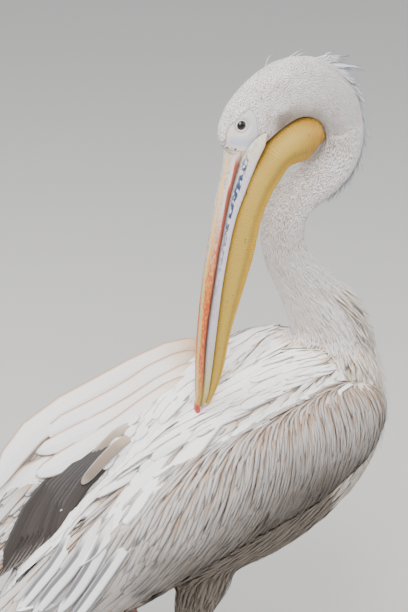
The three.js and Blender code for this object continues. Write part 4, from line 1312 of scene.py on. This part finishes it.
def lay_feathers(name, roots, length, width, rise, outline, section, thick, seed, sway,
                 stand=0.0, root_rise=0.12, droop=0.0, overhang=20.0, carry_on=False):
    """Walks every feather over the skin and builds them as one piece. Sizes in millimetres.

    A feather rises to its full height and sinks again by the share droop at its tip. One that
    runs off the skin by more than the overhang is left out. Those of the tail carry on past the
    blunt end of the body.
    """
    rng = np.random.default_rng(seed)
    count = len(roots["place"])
    length, width, rise, thick, stand = (
        np.broadcast_to(np.asarray(x, float), count) for x in (length, width, rise, thick, stand)
    )
    share = np.array([o[0] for o in outline])
    wide = np.array([o[1] for o in outline])
    turn = rng.normal(0, sway, count)[:, None]
    height = rise * rng.uniform(0.85, 1.15, count)
    here, up, face = roots["place"].copy(), roots["up"].copy(), roots["face"].copy()
    middles, ups = [], []
    adrift = np.zeros(count)
    for k, s in enumerate(share):
        way = triangle_flow[face]
        way = way * np.cos(turn) + np.cross(up, way) * np.sin(turn)
        way = unit(way - (way * up).sum(axis=1, keepdims=True) * up)
        above = height * (root_rise + (1 - root_rise) * s**0.7)
        above = above * (1 - droop * max(0.0, (s - 0.5) / 0.5) ** 2) + stand * length * s**2
        middles.append(here + up * (above * MM)[:, None])
        ups.append(up)
        if k + 1 == len(share):
            break
        step = (share[k + 1] - s) * length * MM
        ahead = here + way * step[:, None]
        landed, new_face = on_skin(ahead)
        new_up = triangle_up[new_face]
        off = np.linalg.norm(landed - ahead, axis=1) > OFF_SHARE * step + OFF_ROOM
        lost = (off | ((new_up * up).sum(axis=1) < BEND))[:, None]
        if carry_on:
            lost |= blunt_end[new_face][:, None]
        adrift += lost[:, 0] * step / MM
        here = np.where(lost, ahead, landed)
        up = np.where(lost, up, new_up)
        face = np.where(lost[:, 0], face, new_face)
    middles, ups = np.stack(middles, axis=1), np.stack(ups, axis=1)
    kept = (adrift < overhang) & (middles > LEAST).all(axis=(1, 2))
    kept &= (middles < MOST).all(axis=(1, 2))
    return build_blades(name, middles[kept], ups[kept], width[kept], wide, section, thick[kept],
                        share, roots["uv"][kept], rng)


def build_blades(name, middles, ups, width, wide, section, thick, share, root_uv, rng):
    """Closed blades round given middle lines, (feathers, stations, 3), as one mesh."""
    count, stations = middles.shape[:2]
    ways = unit(np.gradient(middles, axis=1))
    sides = unit(np.cross(ways, ups))
    ups = unit(np.cross(sides, ways))
    across = np.array([s[0] for s in section])
    lifted = np.array([s[1] for s in section])
    around, rings = len(section), stations - 1
    half = (width[:, None] * wide[None, :] / 2 * MM)[:, :rings, None, None]
    fat = (thick[:, None] * np.linspace(1, 0.45, stations)[None, :] * MM)[:, :rings, None, None]
    ring = (
        middles[:, :rings, None, :]
        + sides[:, :rings, None, :] * half * across[None, None, :, None]
        + ups[:, :rings, None, :] * fat * lifted[None, None, :, None]
    )
    points = np.concatenate([ring.reshape(count, -1, 3), middles[:, -1:, :]], axis=1)
    each = points.shape[1]
    k, j = np.meshgrid(np.arange(rings - 1), np.arange(around), indexing="ij")
    a, b = k * around + j, k * around + (j + 1) % around
    quads = np.stack([a, b, b + around, a + around], axis=-1).reshape(-1)
    j = np.arange(around)
    last = (rings - 1) * around
    tips = np.stack([last + j, last + (j + 1) % around, np.full(around, each - 1)], axis=-1).reshape(-1)
    pattern = np.concatenate([quads, tips, j[::-1]])
    sizes = np.array([4] * ((rings - 1) * around) + [3] * around + [around])
    corners = (np.arange(count)[:, None] * each + pattern[None, :]).reshape(-1)
    tint = rng.random(count)
    along = np.concatenate([np.repeat(share[:rings], around), [1.0]])
    over_width = np.concatenate([np.tile((across + 1) / 2, rings), [0.5]])
    track = np.empty((count, each, 3))
    track[:, :, 0], track[:, :, 1] = along[None, :], over_width[None, :]
    track[:, :, 2] = tint[:, None]
    piece = mesh_piece(name, points.reshape(-1, 3), corners, np.tile(sizes, count),
                       {"track": track.reshape(-1, 3)})
    uv = root_uv[:, None, :] + PATCH * (track[:, :, :2] - 0.5)
    layer = piece.data.uv_layers.new(name="OFBake")
    layer.data.foreach_set("uv", uv.reshape(-1, 2)[corners].astype(np.float32).ravel())
    return piece


print("feathers reach from", np.round(LEAST, 3), "to", np.round(MOST, 3), "at most")

# %% [markdown]
# White feathers are keratin barbs with air between them, so they look soft, matt and faintly
# translucent. The white is warmest and darkest at the root, where the feather thins into down, and
# cleanest at the tip; on the white feathers the root and the margins are also painted darker, as
# painted shade in the gaps between feathers. The barbs run slantwise from the shaft, about half a
# millimetre apart; here they are drawn a little coarser, so that they show. Each feather has its
# own slight tint.

# %% Finishes of the feathers
# Lower on the trunk the feathers turn darker and browner: painted shade on the low, downward-facing
# feathers, with some staining on the belly.
BODY_LOW, BODY_HIGH = -10.0, 118.0  # mm above the trunk's axis, where the belly turns duller
LOW_SHADE_FRONT, LOW_SHADE_REAR = (40.0, 170.0), (-180.0, -320.0)  # along it, where that fades out
LOW_SHADE_FADE, LOW_SHADE_BLOTCH = 55.0, 50.0  # mm by which the limit drops there, and wavers


def feather_finish(name, colours, tints, barbs=26.0, bump=0.00025, low_shade_and_stain=None, edge=None,
                   edge_share=0.3, edge_from=None, edge_some=None, web=None, mottled=None, spots=()):
    """A feather's material: colours from root to tip, tints from feather to feather.

    barbs is how many barbs show along it. low_shade_and_stain, edge, web and mottled are the
    colours of the low feathers, painted darker as shade with some staining, of the margins, of one
    web and of patches. The margins may be coloured only from some way along the feather, or only
    on some feathers.
    """
    finish, tree, shader = new_finish(name)
    track = add_node(tree, "Attribute", {"attribute_name": "track"}, out="Vector")
    along, across, own = add_node(tree, "SeparateXYZ", inputs={0: track}).node.outputs
    tinted = {0: 1.0, MIX_A: add_node(tree, "ValToRGB", inputs={"Fac": along}, stops=colours),
              MIX_B: add_node(tree, "ValToRGB", inputs={"Fac": own}, stops=tints)}
    settings = {"data_type": "RGBA", "blend_type": "MULTIPLY"}
    colour = add_node(tree, "Mix", settings, tinted, out=MIX_OUT)
    off_shaft = add_node(tree, "Math", {"operation": "SUBTRACT"}, {0: across, 1: 0.5})
    off_shaft = add_node(tree, "Math", {"operation": "ABSOLUTE"}, {0: off_shaft})
    layers = []
    # On the white feathers the margins are painted shade in the gaps between feathers, on the tertials
    # also stain; on the quills and secondaries they are the feathers' own pale fringes and grey webs.
    if edge is not None:
        where_edge = [(off_shaft, 0.34, 0.5), edge_share]
        if edge_some is not None:
            where_edge.append((own, edge_some, edge_some + 0.1, LINEAR))
        if edge_from is not None:
            where_edge.append((along, edge_from, edge_from + 0.15, LINEAR))
        layers.append((edge, *where_edge))
    if web is not None:
        layers.append((web, (across, 0.56, 0.66), (across, 0.94, 0.86), (along, 0.25, 0.45),
                       (along, 0.95, 0.85), 0.85))
    # The barbs run slantwise from the shaft, and differ from feather to feather.
    steps = {"operation": "MULTIPLY_ADD"}
    slant = add_node(tree, "Math", steps, {0: off_shaft, 1: -0.22, 2: along})
    slant = add_node(tree, "Math", steps, {0: own, 1: 7.0, 2: slant})
    turns = share_of(tree, slant, barbs * 2 * math.pi)
    ripple = add_node(tree, "Math", {"operation": "SINE"}, {0: turns})
    ripple = add_node(tree, "Math", steps, {0: ripple, 1: 0.5, 2: 0.5})
    layers.append((0xA9988C, ripple, 0.06))
    # The low feathers are painted darker: painted shade, with some staining from water and dust.
    if low_shade_and_stain is not None:
        where = place_in(tree, BODY_CENTRE, body_axes)
        length, _, high = add_node(tree, "SeparateXYZ", inputs={0: where}).node.outputs
        for fading in (LOW_SHADE_FRONT, LOW_SHADE_REAR):
            faded = share_of(tree, (length, *fading))
            high = add_node(tree, "Math", steps, {0: faded, 1: LOW_SHADE_FADE, 2: high})
        blotch = add_node(tree, "TexNoise", inputs={"Vector": where, "Scale": 0.03})
        high = add_node(tree, "Math", steps, {0: blotch, 1: LOW_SHADE_BLOTCH, 2: high})
        layers.append((low_shade_and_stain, (high, BODY_HIGH, BODY_LOW), 0.95))
    if mottled is not None:
        here = add_node(tree, "TexCoord", out="Object")
        patches = add_node(tree, "TexNoise", inputs={"Vector": here, "Scale": 55.0, "Detail": 3.0})
        layers.append((mottled, (patches, 0.48, 0.68), 0.55))
    # Round patches on the head: painted shade, a painted highlight and pale mottles.
    if spots:
        where = place_in(tree, BILL_BASE, head_axes)
    for *centre, radius, share, spot_colour in spots:
        inputs = {0: where, 1: centre}
        reach = add_node(tree, "VectorMath", {"operation": "DISTANCE"}, inputs, out="Value")
        layers.append((spot_colour, (reach, radius, radius * 0.3), share))
    colour = painted(tree, colour, *layers)
    shaft = share_of(tree, (off_shaft, 0.07, 0.02, LINEAR))
    height = add_node(tree, "Math", steps, {0: ripple, 1: 0.5, 2: shaft})
    finish_shader(
        tree, shader, colour, 0.78, height, bump,
        Sheen_Weight=0.12, Sheen_Roughness=0.5, IOR=1.45,
    )
    return finish


# The brownish patches are painted shade above the pouch, the white one is a painted highlight on the
# ridge behind the eye, and the pale pink ones are mottles.
HEAD_SHADE_HIGHLIGHT_AND_MOTTLES = [  # along the bill, left, up, radius in mm, share, colour
    (-44, 24, -50, 24, 0.85, 0x8A7464), (-50, 24, -68, 28, 0.6, 0x9E8C80),
    (-40, 24, -30, 18, 0.3, 0xC4B0A6), (-80, 20, -12, 20, 0.3, 0xDCC6C0),
    (-86, 20, -40, 20, 0.3, 0xD8C4BE), (-66, 28, -44, 16, 0.5, 0xFFFFFF),
]
PURE = [(0.0, 0xF9F7F5), (0.35, 0xFFFFFF), (0.7, 0xFDFBF8), (1.0, 0xF8F3EB)]
white_coat = feather_finish(
    "white contour feathers",
    [(0.0, 0xC9AA92), (0.3, 0xE6D8CC), (0.55, 0xF4F0EC), (1.0, 0xF8F7F6)],
    PURE, low_shade_and_stain=0x7E7164, edge=0xCDB3A1, edge_share=0.55,
)
# The wing's coverts are white like the other contour feathers; their greyer colours are painted shade,
# as the folded wing's side lies away from the lamps above.
shaded_wing_coat = feather_finish(
    "white wing coverts in painted shade",
    [(0.0, 0xA98468), (0.3, 0xBEA896), (0.55, 0xC9C4C1), (1.0, 0xD3D1D1)],
    PURE, low_shade_and_stain=0x54493F, edge=0xAA8E7A, edge_share=0.6,
)
# Tan at the roots and along the margins of some plumes: the down at the root, and painted shade in the
# gaps between feathers.
plume_coat_with_painted_gaps = feather_finish(
    "white mantle plumes with tan roots",
    [(0.0, 0xCFA67E), (0.2, 0xEAD8C6), (0.4, 0xFBF8F5), (1.0, 0xFEFDFC)],
    PURE, edge=0xB97F48, edge_share=0.85, edge_some=0.6,
)
cream_coat = feather_finish(
    "creamy breast plumes",
    [(0.0, 0xDCC5B2), (0.3, 0xF0E6DB), (0.6, 0xF6F0E8), (1.0, 0xF8F2E8)],
    [(0.0, 0xFFFFFF), (0.5, 0xFEFAF4), (1.0, 0xFAF2E4)], edge=0xDECBB8,
)
head_coat = feather_finish(
    "velvet of the head and neck",
    [(0.0, 0xF1EAE6), (0.5, 0xF5F0EE), (1.0, 0xF6F2F0)],
    [(0.0, 0xFFFFFF), (0.6, 0xFEFCFB), (1.0, 0xFAF5F3)], barbs=5.0, mottled=0xE3D6D0,
    spots=HEAD_SHADE_HIGHLIGHT_AND_MOTTLES,
)
fringe_coat = feather_finish(
    "bluish white crest and nape",
    [(0.0, 0xE6E0DC), (0.4, 0xECEEF1), (1.0, 0xF2F4F8)],
    [(0.0, 0xFFFFFF), (1.0, 0xF2F4FA)], barbs=20.0,
)
smooth_coat = feather_finish(
    "smooth white scapulars and tertials",
    [(0.0, 0xC7A283), (0.12, 0xE8DCCF), (0.28, 0xF6F3F0), (1.0, 0xFAF9F9)],
    [(0.0, 0xFFFFFF), (0.5, 0xFEFCFB), (1.0, 0xFAF8F8)], barbs=70.0, edge=0xD9C6B6, edge_share=0.45,
    bump=0.0002,
)
dark_quill = feather_finish(
    "dark flight feathers",
    [(0.0, 0x1C1817), (0.35, 0x26211F), (0.8, 0x342D2A), (0.955, 0x3A3330), (1.0, 0xC4BAB0)],
    [(0.0, 0xFFFFFF), (1.0, 0xB4ACA8)], barbs=80.0, edge=0xDCD2C8, edge_share=0.95, bump=0.0002,
    edge_from=0.8,
)
grey_quill = feather_finish(
    "grey-brown inner flight feathers",
    [(0.0, 0xD8C8B8), (0.35, 0xA39281), (0.85, 0x86786B), (1.0, 0xB0A498)],
    [(0.0, 0xFFFFFF), (1.0, 0xE4DED8)], barbs=80.0, edge=0xE9E2D8, edge_share=0.75, bump=0.0002,
)
print("feather finishes ready")

# %% [markdown]
# Now the coat itself, one region after another. The head and neck are velvet: thousands of tiny
# flat tufts. Down the neck they grow into slim pointed plumes, which are long and ruffled in
# front, where the birds loosen them, and short and smooth at the rear. Each piece has a seed of
# its own, so that a change to one leaves the others as they are.

# %% Head and neck
def coat(name, keep, spacing, seed, finish, room=18.0, **shape_of):
    """Scatters roots on part of the skin and lays one piece of the coat over it."""
    roots = scatter(keep, spacing, seed, room)
    sized = {key: (value(roots) if callable(value) else value) for key, value in shape_of.items()}
    finish_piece(lay_feathers(name, roots, seed=seed, **sized), finish, "plumage")


def mixed(low, high, seed):
    """A different size for each root, between two sizes."""
    return lambda roots: np.random.default_rng(seed).uniform(low, high, len(roots["place"]))


SIZE_SEED, SIZE_JITTER = 5, 0.12


def along_trunk(stops, column=0):
    """A size for each root that changes along the trunk, from a table of (place, size)."""
    def size(roots):
        where = seen_from(roots["place"], BODY_CENTRE, body_axes)[:, column]
        value = smooth_table(stops, where)[:, 0]
        rng = np.random.default_rng(SIZE_SEED)
        return value * rng.uniform(1 - SIZE_JITTER, 1 + SIZE_JITTER, len(value))
    return size


def longer_in_front(front, rear):
    """A size up the neck from two tables: for its front, which is ruffled, and for its rear."""
    def size(roots):
        share = np.clip((roots["up"] @ FORWARD) / 0.5, 0, 1)
        long, short = (along_trunk(stops, column=2)(roots) for stops in (front, rear))
        return share * long + (1 - share) * short
    return size


u, v, w = on_trunk.T
head_part, upper_part, lower_part = is_part("head"), is_part("neck_upper"), is_part("neck_lower")
feathered_head = head_part & (bare < -1.2) & ~((bare > -60) & (local[:, 0] > -2))
coat("coat_head", feathered_head, 1.7, 11, head_coat, room=5, length=mixed(5.5, 8, 1),
     width=mixed(2.0, 2.8, 2), rise=0.55, outline=TUFT, section=RIDGED, thick=0.10, sway=0.08,
     droop=0.3)
coat("coat_neck_upper", upper_part, 2.0, 12, head_coat, room=8, length=mixed(9, 13, 3),
     width=mixed(2.3, 3.2, 4), rise=0.9, outline=TUFT, section=RIDGED, thick=0.09, sway=0.06,
     droop=0.3, root_rise=0.4)
LOW_NECK_LENGTH = [(90, 34), (150, 28), (200, 22), (260, 15), (330, 11)]
LOW_NECK_WIDTH = [(90, 4.2), (150, 3.8), (260, 3.0), (330, 2.7)]
LOW_NECK_RISE = [(90, 2.6), (150, 2.0), (260, 1.3), (330, 0.9)]
REAR_NECK_LENGTH = [(90, 46), (125, 26), (170, 14), (330, 11)]
REAR_NECK_RISE = [(90, 4.0), (125, 1.9), (170, 1.0), (330, 0.8)]
coat("coat_neck_lower", lower_part, 2.5, 13, head_coat, room=10,
     length=longer_in_front(LOW_NECK_LENGTH, REAR_NECK_LENGTH),
     width=along_trunk(LOW_NECK_WIDTH, column=2),
     rise=longer_in_front(LOW_NECK_RISE, REAR_NECK_RISE), outline=LANCET, section=RIDGED,
     thick=along_trunk([(90, 0.2), (200, 0.12), (330, 0.09)], column=2), sway=0.05, droop=0.4,
     root_rise=0.35)
print("velvet done")

# %% [markdown]
# On the trunk the contour feathers are lance-shaped and as long as a hand. Those of the belly lie
# densest, and the lower ones are painted darker and browner: painted shade, with some staining from
# water and dust. The back has broader ones, tan at the roots and along the margins of some, which is
# the down at the root and painted shade in the gaps between feathers. The thighs have short ones
# down to the bare leg.

# %% Trunk
trunk_part = is_part("trunk")
top_of_trunk = trunk_part & (w > 40)
coat("coat_breast", trunk_part & (u > 130) & ~top_of_trunk, 4.8, 21, cream_coat,
     length=mixed(36, 50, 7), width=mixed(5.0, 7.0, 8), rise=6.5, outline=STRAND, section=LENS,
     thick=0.6, sway=0.06, droop=0.3)
coat("coat_belly", trunk_part & (u <= 130) & ~top_of_trunk, 6.6, 22, white_coat,
     length=mixed(55, 80, 9), width=mixed(6.5, 9, 10), rise=7.0, outline=STRAND, section=LENS,
     thick=0.7, sway=0.06, droop=0.3)
coat("coat_back", top_of_trunk, 6.6, 23, plume_coat_with_painted_gaps, length=mixed(70, 105, 11),
     width=mixed(8, 12, 12), rise=6.5, outline=PLUME, section=VANE, thick=0.45, sway=0.04,
     droop=0.35, root_rise=0.25, overhang=10)
thighs = is_part("thigh_left", "thigh_right")
coat("coat_thighs", thighs, 4.4, 24, white_coat, length=mixed(24, 34, 13),
     width=mixed(4.5, 6.5, 14), rise=4.5, outline=STRAND, section=LENS, thick=0.5, sway=0.08,
     droop=0.3)
print("trunk done")

# %% [markdown]
# The shoulder feathers are broad and smooth, and lie from the shoulder over the folded wing, with
# narrower plumes over their roots. The wing's own coverts are fine, almost hair-like strands at
# the wrist, and long blades behind.

# %% Scapulars and wings
COVERT_LENGTH = [(-460, 120), (-250, 125), (-150, 110), (-60, 92), (40, 76), (120, 66), (235, 44)]
COVERT_WIDTH = [(-460, 17), (-250, 15), (-150, 11), (-60, 7.5), (40, 5.4), (120, 4.8), (235, 4.0)]
SCAPULAR_LENGTH = {
    "left": [(-250, 26), (-140, 34), (-60, 70), (20, 110), (130, 130)],
    "right": [(-250, 70), (-140, 110), (-60, 150), (20, 165), (130, 150)],
}


def shorter_at_wing(stops):
    """A size along the trunk from a table, less beside the furrow where the wing begins."""
    def size(roots):
        off_seam = np.array([seam.find(p)[2] for p in roots["place"].tolist()]) / MM
        return along_trunk(stops)(roots) * np.clip(off_seam / 45, 0.45, 1)
    return size


for seed, (name, side) in enumerate(SIDES.items()):
    scapulars = is_part("scapulars_" + name)
    if side > 0:
        scapulars = scapulars & (u > -110)
    coat("coat_scapulars_" + name, scapulars, 15.0, 31 + seed, smooth_coat,
         length=shorter_at_wing(SCAPULAR_LENGTH[name]), width=mixed(15, 22, 16), rise=5.5,
         outline=QUILL, section=VANE, thick=0.8, sway=0.03, droop=0.25, overhang=40)
    shoulder = scapulars & (u > 70)
    coat("coat_shoulder_" + name, shoulder, 5.6, 51 + seed, plume_coat_with_painted_gaps,
         length=mixed(44, 70, 15), width=mixed(6.5, 10, 16), rise=5.0, outline=PLUME,
         section=VANE, thick=0.4, sway=0.04, droop=0.35, root_rise=0.3)
    wing = is_part("wing_" + name)
    outer = wing & (normals @ np.array([0, side, 0]) > -0.55)
    under = wing & ~outer
    fore = outer & (u > 20)
    coat(f"coat_wing_{name}_fore", fore, 4.9, 41 + seed, shaded_wing_coat,
         length=along_trunk(COVERT_LENGTH), width=along_trunk(COVERT_WIDTH), rise=5.5,
         outline=STRAND, section=LENS, thick=0.55, sway=0.035, droop=0.4, root_rise=0.25)
    middle = outer & (u <= 20) & (u > -150)
    coat(f"coat_wing_{name}_middle", middle, 7.0, 43 + seed, shaded_wing_coat,
         length=along_trunk(COVERT_LENGTH), width=along_trunk(COVERT_WIDTH), rise=5.0,
         outline=STRAND, section=LENS, thick=0.8, sway=0.04, droop=0.4, overhang=25)
    rear = outer & (u <= -150)
    coat(f"coat_wing_{name}_rear", rear, 12.0, 47 + seed, shaded_wing_coat,
         length=along_trunk(COVERT_LENGTH), width=along_trunk(COVERT_WIDTH),
         rise=along_trunk([(-460, 3.2), (-200, 3.8), (-100, 5.0)]),
         outline=BLADE, section=VANE, thick=0.8, sway=0.05, droop=0.3, overhang=30)
    coat(f"coat_wing_{name}_under", under, 9.0, 45 + seed, shaded_wing_coat, length=mixed(50, 75, 17),
         width=mixed(9, 13, 18), rise=2.5, outline=BLADE, section=LENS, thick=0.5, sway=0.06)
end_of_scapulars = is_part("scapulars_left") & (u <= -100)
coat("coat_rump_left", end_of_scapulars, 5.0, 55, plume_coat_with_painted_gaps, length=mixed(30, 44, 56),
     width=mixed(5, 7, 57), rise=3.6, outline=STRAND, section=LENS, thick=0.5, sway=0.08,
     droop=0.3)
print("wings done")

# %% [markdown]
# The longest feathers do not come in rows of hundreds, so each is laid along a line of its own:
# the broad white tertials of the far wing, tan along their margins, which is partly staining and
# partly the painted shadow of the feather over each, two grey-brown inner quills and the dark
# flight feathers that show under them, and the plain tertials and the grey-streaked secondaries of
# the near wing.

# %% Feathers laid one by one
def lay_along(name, lines, width, ups, outline, section, thick, finish, seed, to_place=on_body,
              slot="plumage", stands_for=(), lift=0.0):
    """Lays one feather along each line, a list of places in millimetres, facing its ups."""
    rng = np.random.default_rng(seed)
    share = np.array([o[0] for o in outline])
    wide = np.array([o[1] for o in outline])
    ups = np.broadcast_to(np.asarray(ups, float), (len(lines), 3))
    lift = np.broadcast_to(np.asarray(lift, float), len(lines))
    middles = []
    for line, up, height in zip(lines, ups, lift):
        line = np.array(line, float)
        reach = np.append(0, np.cumsum(np.linalg.norm(np.diff(line, axis=0), axis=1)))
        spots = smooth_table(np.column_stack([reach / reach[-1], line]), share)
        rising = height * np.minimum(1, 0.25 + 2.5 * share)
        middles.append(to_place(spots) + up * (rising * MM)[:, None])
    middles = np.stack(middles)
    facing = np.repeat(unit(ups)[:, None, :], len(share), axis=1)
    _, face = on_skin(middles[:, 0])
    width = np.broadcast_to(np.asarray(width, float), len(lines))
    thick = np.broadcast_to(np.asarray(thick, float), len(lines))
    piece = build_blades(name, middles, facing, width, wide, section, thick, share,
                         triangle_uv[face].mean(axis=1), rng)
    finish_piece(piece, finish, slot, *stands_for)


def tilted(degrees):
    """The trunk's upward direction, leant over to its right side."""
    angle = math.radians(degrees)
    return math.cos(angle) * UPWARD - math.sin(angle) * LEFT


TERTIALS = [  # width, lift, tilt, and the places of its middle line along, left and up
    (42, 1, 48, [(109, 124, 92), (60, 124, 110), (9, 122, 123), (-55, 118, 136),
                 (-126, 114, 151), (-193, 108, 156), (-243, 100, 145), (-286, 92, 127)]),
    (40, 12, 46, [(90, 112, 88), (14, 104, 108), (-47, 92, 120), (-106, 93, 130),
                  (-152, 104, 135), (-184, 110, 134)]),
    (36, 10, 44, [(80, 70, 96), (24, 62, 112), (-21, 74, 108), (-63, 73, 111), (-108, 75, 118),
                  (-146, 82, 123), (-183, 92, 127), (-204, 104, 130)]),
    (38, 8, 40, [(40, 44, 112), (-30, 46, 112), (-92, 55, 106), (-140, 60, 108),
                 (-181, 66, 111), (-225, 78, 113)]),
    (44, 5, 42, [(-50, 50, 106), (-126, 54, 103), (-174, 63, 108), (-208, 76, 113),
                 (-247, 88, 112), (-292, 98, 102)]),
]
# The tan along each tertial's margins is partly staining and partly painted shadow, cast by the feather
# that overlaps it.
tertial_coat = feather_finish(
    "broad white tertials with stained margins in painted shadow",
    [(0.0, 0xC79A70), (0.1, 0xE4D0BC), (0.24, 0xF4F0EC), (1.0, 0xFAF9F9)],
    [(0.0, 0xFFFFFF), (0.5, 0xFEFCFB), (1.0, 0xFAF8F8)], barbs=90.0, edge=0xC08A58, edge_share=0.8,
    bump=0.0002,
)
lay_along("tertials_far", [t[3] for t in TERTIALS], [t[0] for t in TERTIALS],
          [tilted(t[2]) for t in TERTIALS], QUILL, BROAD, 1.1, tertial_coat, 61,
          lift=[t[1] for t in TERTIALS])
near_lines = [[(a, -b, c) for a, b, c in t[3]] for t in TERTIALS]
near_lines = [
    [tuple(seen_from(on_skin(on_body([p]))[0], BODY_CENTRE, body_axes)[0]) for p in line]
    for line in near_lines[2:]
]
lay_along("tertials_near", near_lines, 34, tilted(10), QUILL, BROAD, 1.1, smooth_coat, 62,
          lift=4)
lay_along(
    "inner_quills_far",
    [[(-70, 44, 110), (-105, 46, 106), (-172, 44, 93)],
     [(-80, 24, 108), (-125, 24, 104), (-187, 20, 92)]],
    17, tilted(25), QUILL, VANE, 0.9, grey_quill, 63, lift=9,
)
UPPER_QUILL = [(-95, 54, 104), (-201, 58, 100), (-250, 56, 92), (-307, 38, 71), (-362, 30, 44)]
LOWER_QUILL = [(-100, 28, 106), (-190, 20, 90), (-240, 14, 70), (-262, 12, 60), (-280, 11, 54)]
QUILLS = 9
blend = [k / (QUILLS - 1) for k in range(QUILLS)]
fan = [
    (1 - k) * np.array(UPPER_QUILL, float) + k * np.array(LOWER_QUILL, float) for k in blend
]
lay_along("flight_quills_far", fan, 22, tilted(30), QUILL, VANE, 0.8, dark_quill, 64,
          lift=[8.5 - 1.5 * k for k in blend])
STREAKED = [
    [(-190, -10, 76), (-234, -14, 66), (-280, -40, 60), (-331, -45, 48), (-372, -46, 36)],
    [(-180, -48, 78), (-232, -56, 68), (-269, -66, 56), (-312, -64, 43), (-360, -64, 27)],
    [(-160, -62, 80), (-204, -70, 70), (-245, -82, 54), (-286, -85, 36), (-330, -84, 20)],
    [(-160, -90, 66), (-205, -98, 52), (-250, -102, 36), (-300, -104, 18), (-335, -102, 6)],
]
grey_streaked = feather_finish(
    "white secondaries with grey webs",
    [(0.0, 0xD8C8BA), (0.3, 0xF0EDEA), (1.0, 0xF6F7F9)],
    [(0.0, 0xFFFFFF), (1.0, 0xF4F6FA)], barbs=70.0, edge=0x8A8C98, edge_share=0.7, web=0x2E2E38,
    bump=0.0002,
)
lay_along("streaked_secondaries_near", STREAKED, [20, 22, 22, 20], tilted(32),
          QUILL, VANE, 0.9, grey_streaked, 65, lift=7)

print("wing's long feathers done")

# %% [markdown]
# A pelican's tail is short and broad: 22 stiff feathers in a shallow fan. Their roots are hidden
# by long coverts, which carry on straight past the blunt end of the body.

# %% Tail
TAIL_FEATHERS = 22
order = [k - (TAIL_FEATHERS - 1) / 2 for k in range(TAIL_FEATHERS)]
out = [k / (TAIL_FEATHERS / 2) for k in order]
fan = [
    [(-290, 26 * k, 22 - 8 * abs(k)), (-360, 44 * k, 18 - 8 * abs(k)),
     (-430, 60 * k, 8 - 7 * abs(k)), (-503 + 12 * abs(k), 66 * k, -4 - 5 * abs(k))]
    for k in out
]
lay_along("tail_fan", fan, 22, UPWARD, QUILL, VANE, 0.9, smooth_coat, 66,
          slot="flight_feathers", stands_for=("tail",))
end_of_trunk = is_part("trunk") & (u < -230)
coat("coat_tail_coverts", end_of_trunk, 9.0, 67, smooth_coat, length=mixed(70, 100, 68),
     width=mixed(13, 18, 69), rise=8.5, outline=BLADE, section=VANE, thick=0.8, sway=0.05,
     droop=0.2, overhang=75, carry_on=True)

print("tail done")

# %% [markdown]
# Thin loose strands finish the outline. The crest streams back from the crown in a few tufts with
# some stray hairs on top, a short fringe stands up along the nape, and plumes cover the place
# where the neck's velvet meets the breast.

# %% Crest, nape and breast plumes
CREST_STRANDS = 34
CREST_ENDS = [
    (205.9, 942.1), (216, 937), (226.6, 928.9), (235, 931.9), (249.1, 916.6), (263, 908.6),
    (235.7, 905.7), (244, 912), (227.3, 901.2), (218.6, 906.9),
]
rng = np.random.default_rng(71)
crest_lines = []
for k in range(CREST_STRANDS):
    end = np.array(CREST_ENDS[k % len(CREST_ENDS)]) + rng.normal(0, 2.2, 2)
    start = np.array([rng.uniform(128, 196), 0.0])
    start[1] = 934 - (start[0] - 128) * 0.13 - rng.uniform(0, 4)
    aside = rng.uniform(-4.5, 4.5)
    middle = (start + end) / 2 + [0, rng.uniform(2, 7)]
    crest_lines.append([(start[0], -8 + aside, start[1]), (middle[0], -8 + aside, middle[1]),
                        (end[0], -8.5 + 0.7 * aside, end[1])])
crest_lines.append([(92, -8, 929), (94.7, -8, 945.1), (98, -8, 952), (106, -8, 957.6)])
crest_lines.append([(106, -8, 932), (112, -8, 938), (125.9, -8, 944.5), (158.7, -8, 958.4)])
crest_lines.append([(112, -6, 932), (124, -6, 941), (140, -6, 946), (150.7, -6, 946.4)])
crest_lines.append([(118, -9, 932), (128, -9, 940), (142, -9, 948), (166, -9, 952)])
crest_wide = np.append(rng.uniform(2.2, 3.6, CREST_STRANDS), [1.3, 1.4, 1.6, 1.3])
lay_along("crest_strands", crest_lines, crest_wide, -LEFT, LANCET, LENS, 0.7, fringe_coat, 72,
          to_place=place, stands_for=("crest",))
bend_middle = np.array([120.0, -8.0, 810.0])
outward = unit((shape - SHIFT) / MM - bend_middle)
nape = (is_part("head", "neck_upper")) & ((outward * normals).sum(axis=1) > 0.86)
nape &= (bird[:, 0] > 205) & (bird[:, 2] > 735)
coat("nape_fringe", nape, 3.0, 73, fringe_coat, room=5, length=mixed(18, 30, 74),
     width=mixed(2.4, 3.6, 75), rise=1.5, outline=LANCET, section=LENS, thick=0.5, sway=0.14,
     stand=mixed(0.22, 0.5, 76))
front_of_neck = is_part("neck_lower") & (normals @ FORWARD > 0.25) & (bird[:, 2] < 600)
collar = front_of_neck | (is_part("trunk") & (u > 215) & (w > -70))
coat("breast_plumes", collar, 6.5, 77, cream_coat, length=mixed(34, 52, 78),
     width=mixed(3.6, 5.4, 79), rise=6.0, outline=LANCET, section=LENS, thick=0.6, sway=0.12,
     stand=mixed(0.05, 0.20, 80))
print("long feathers done")

# %% [markdown]
# The last cell prints the size of the finished model, to set beside the size of the imported one
# printed when it was loaded.

# %% Finish
low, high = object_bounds()
print("visual size", [round(x, 3) for x in high - low])
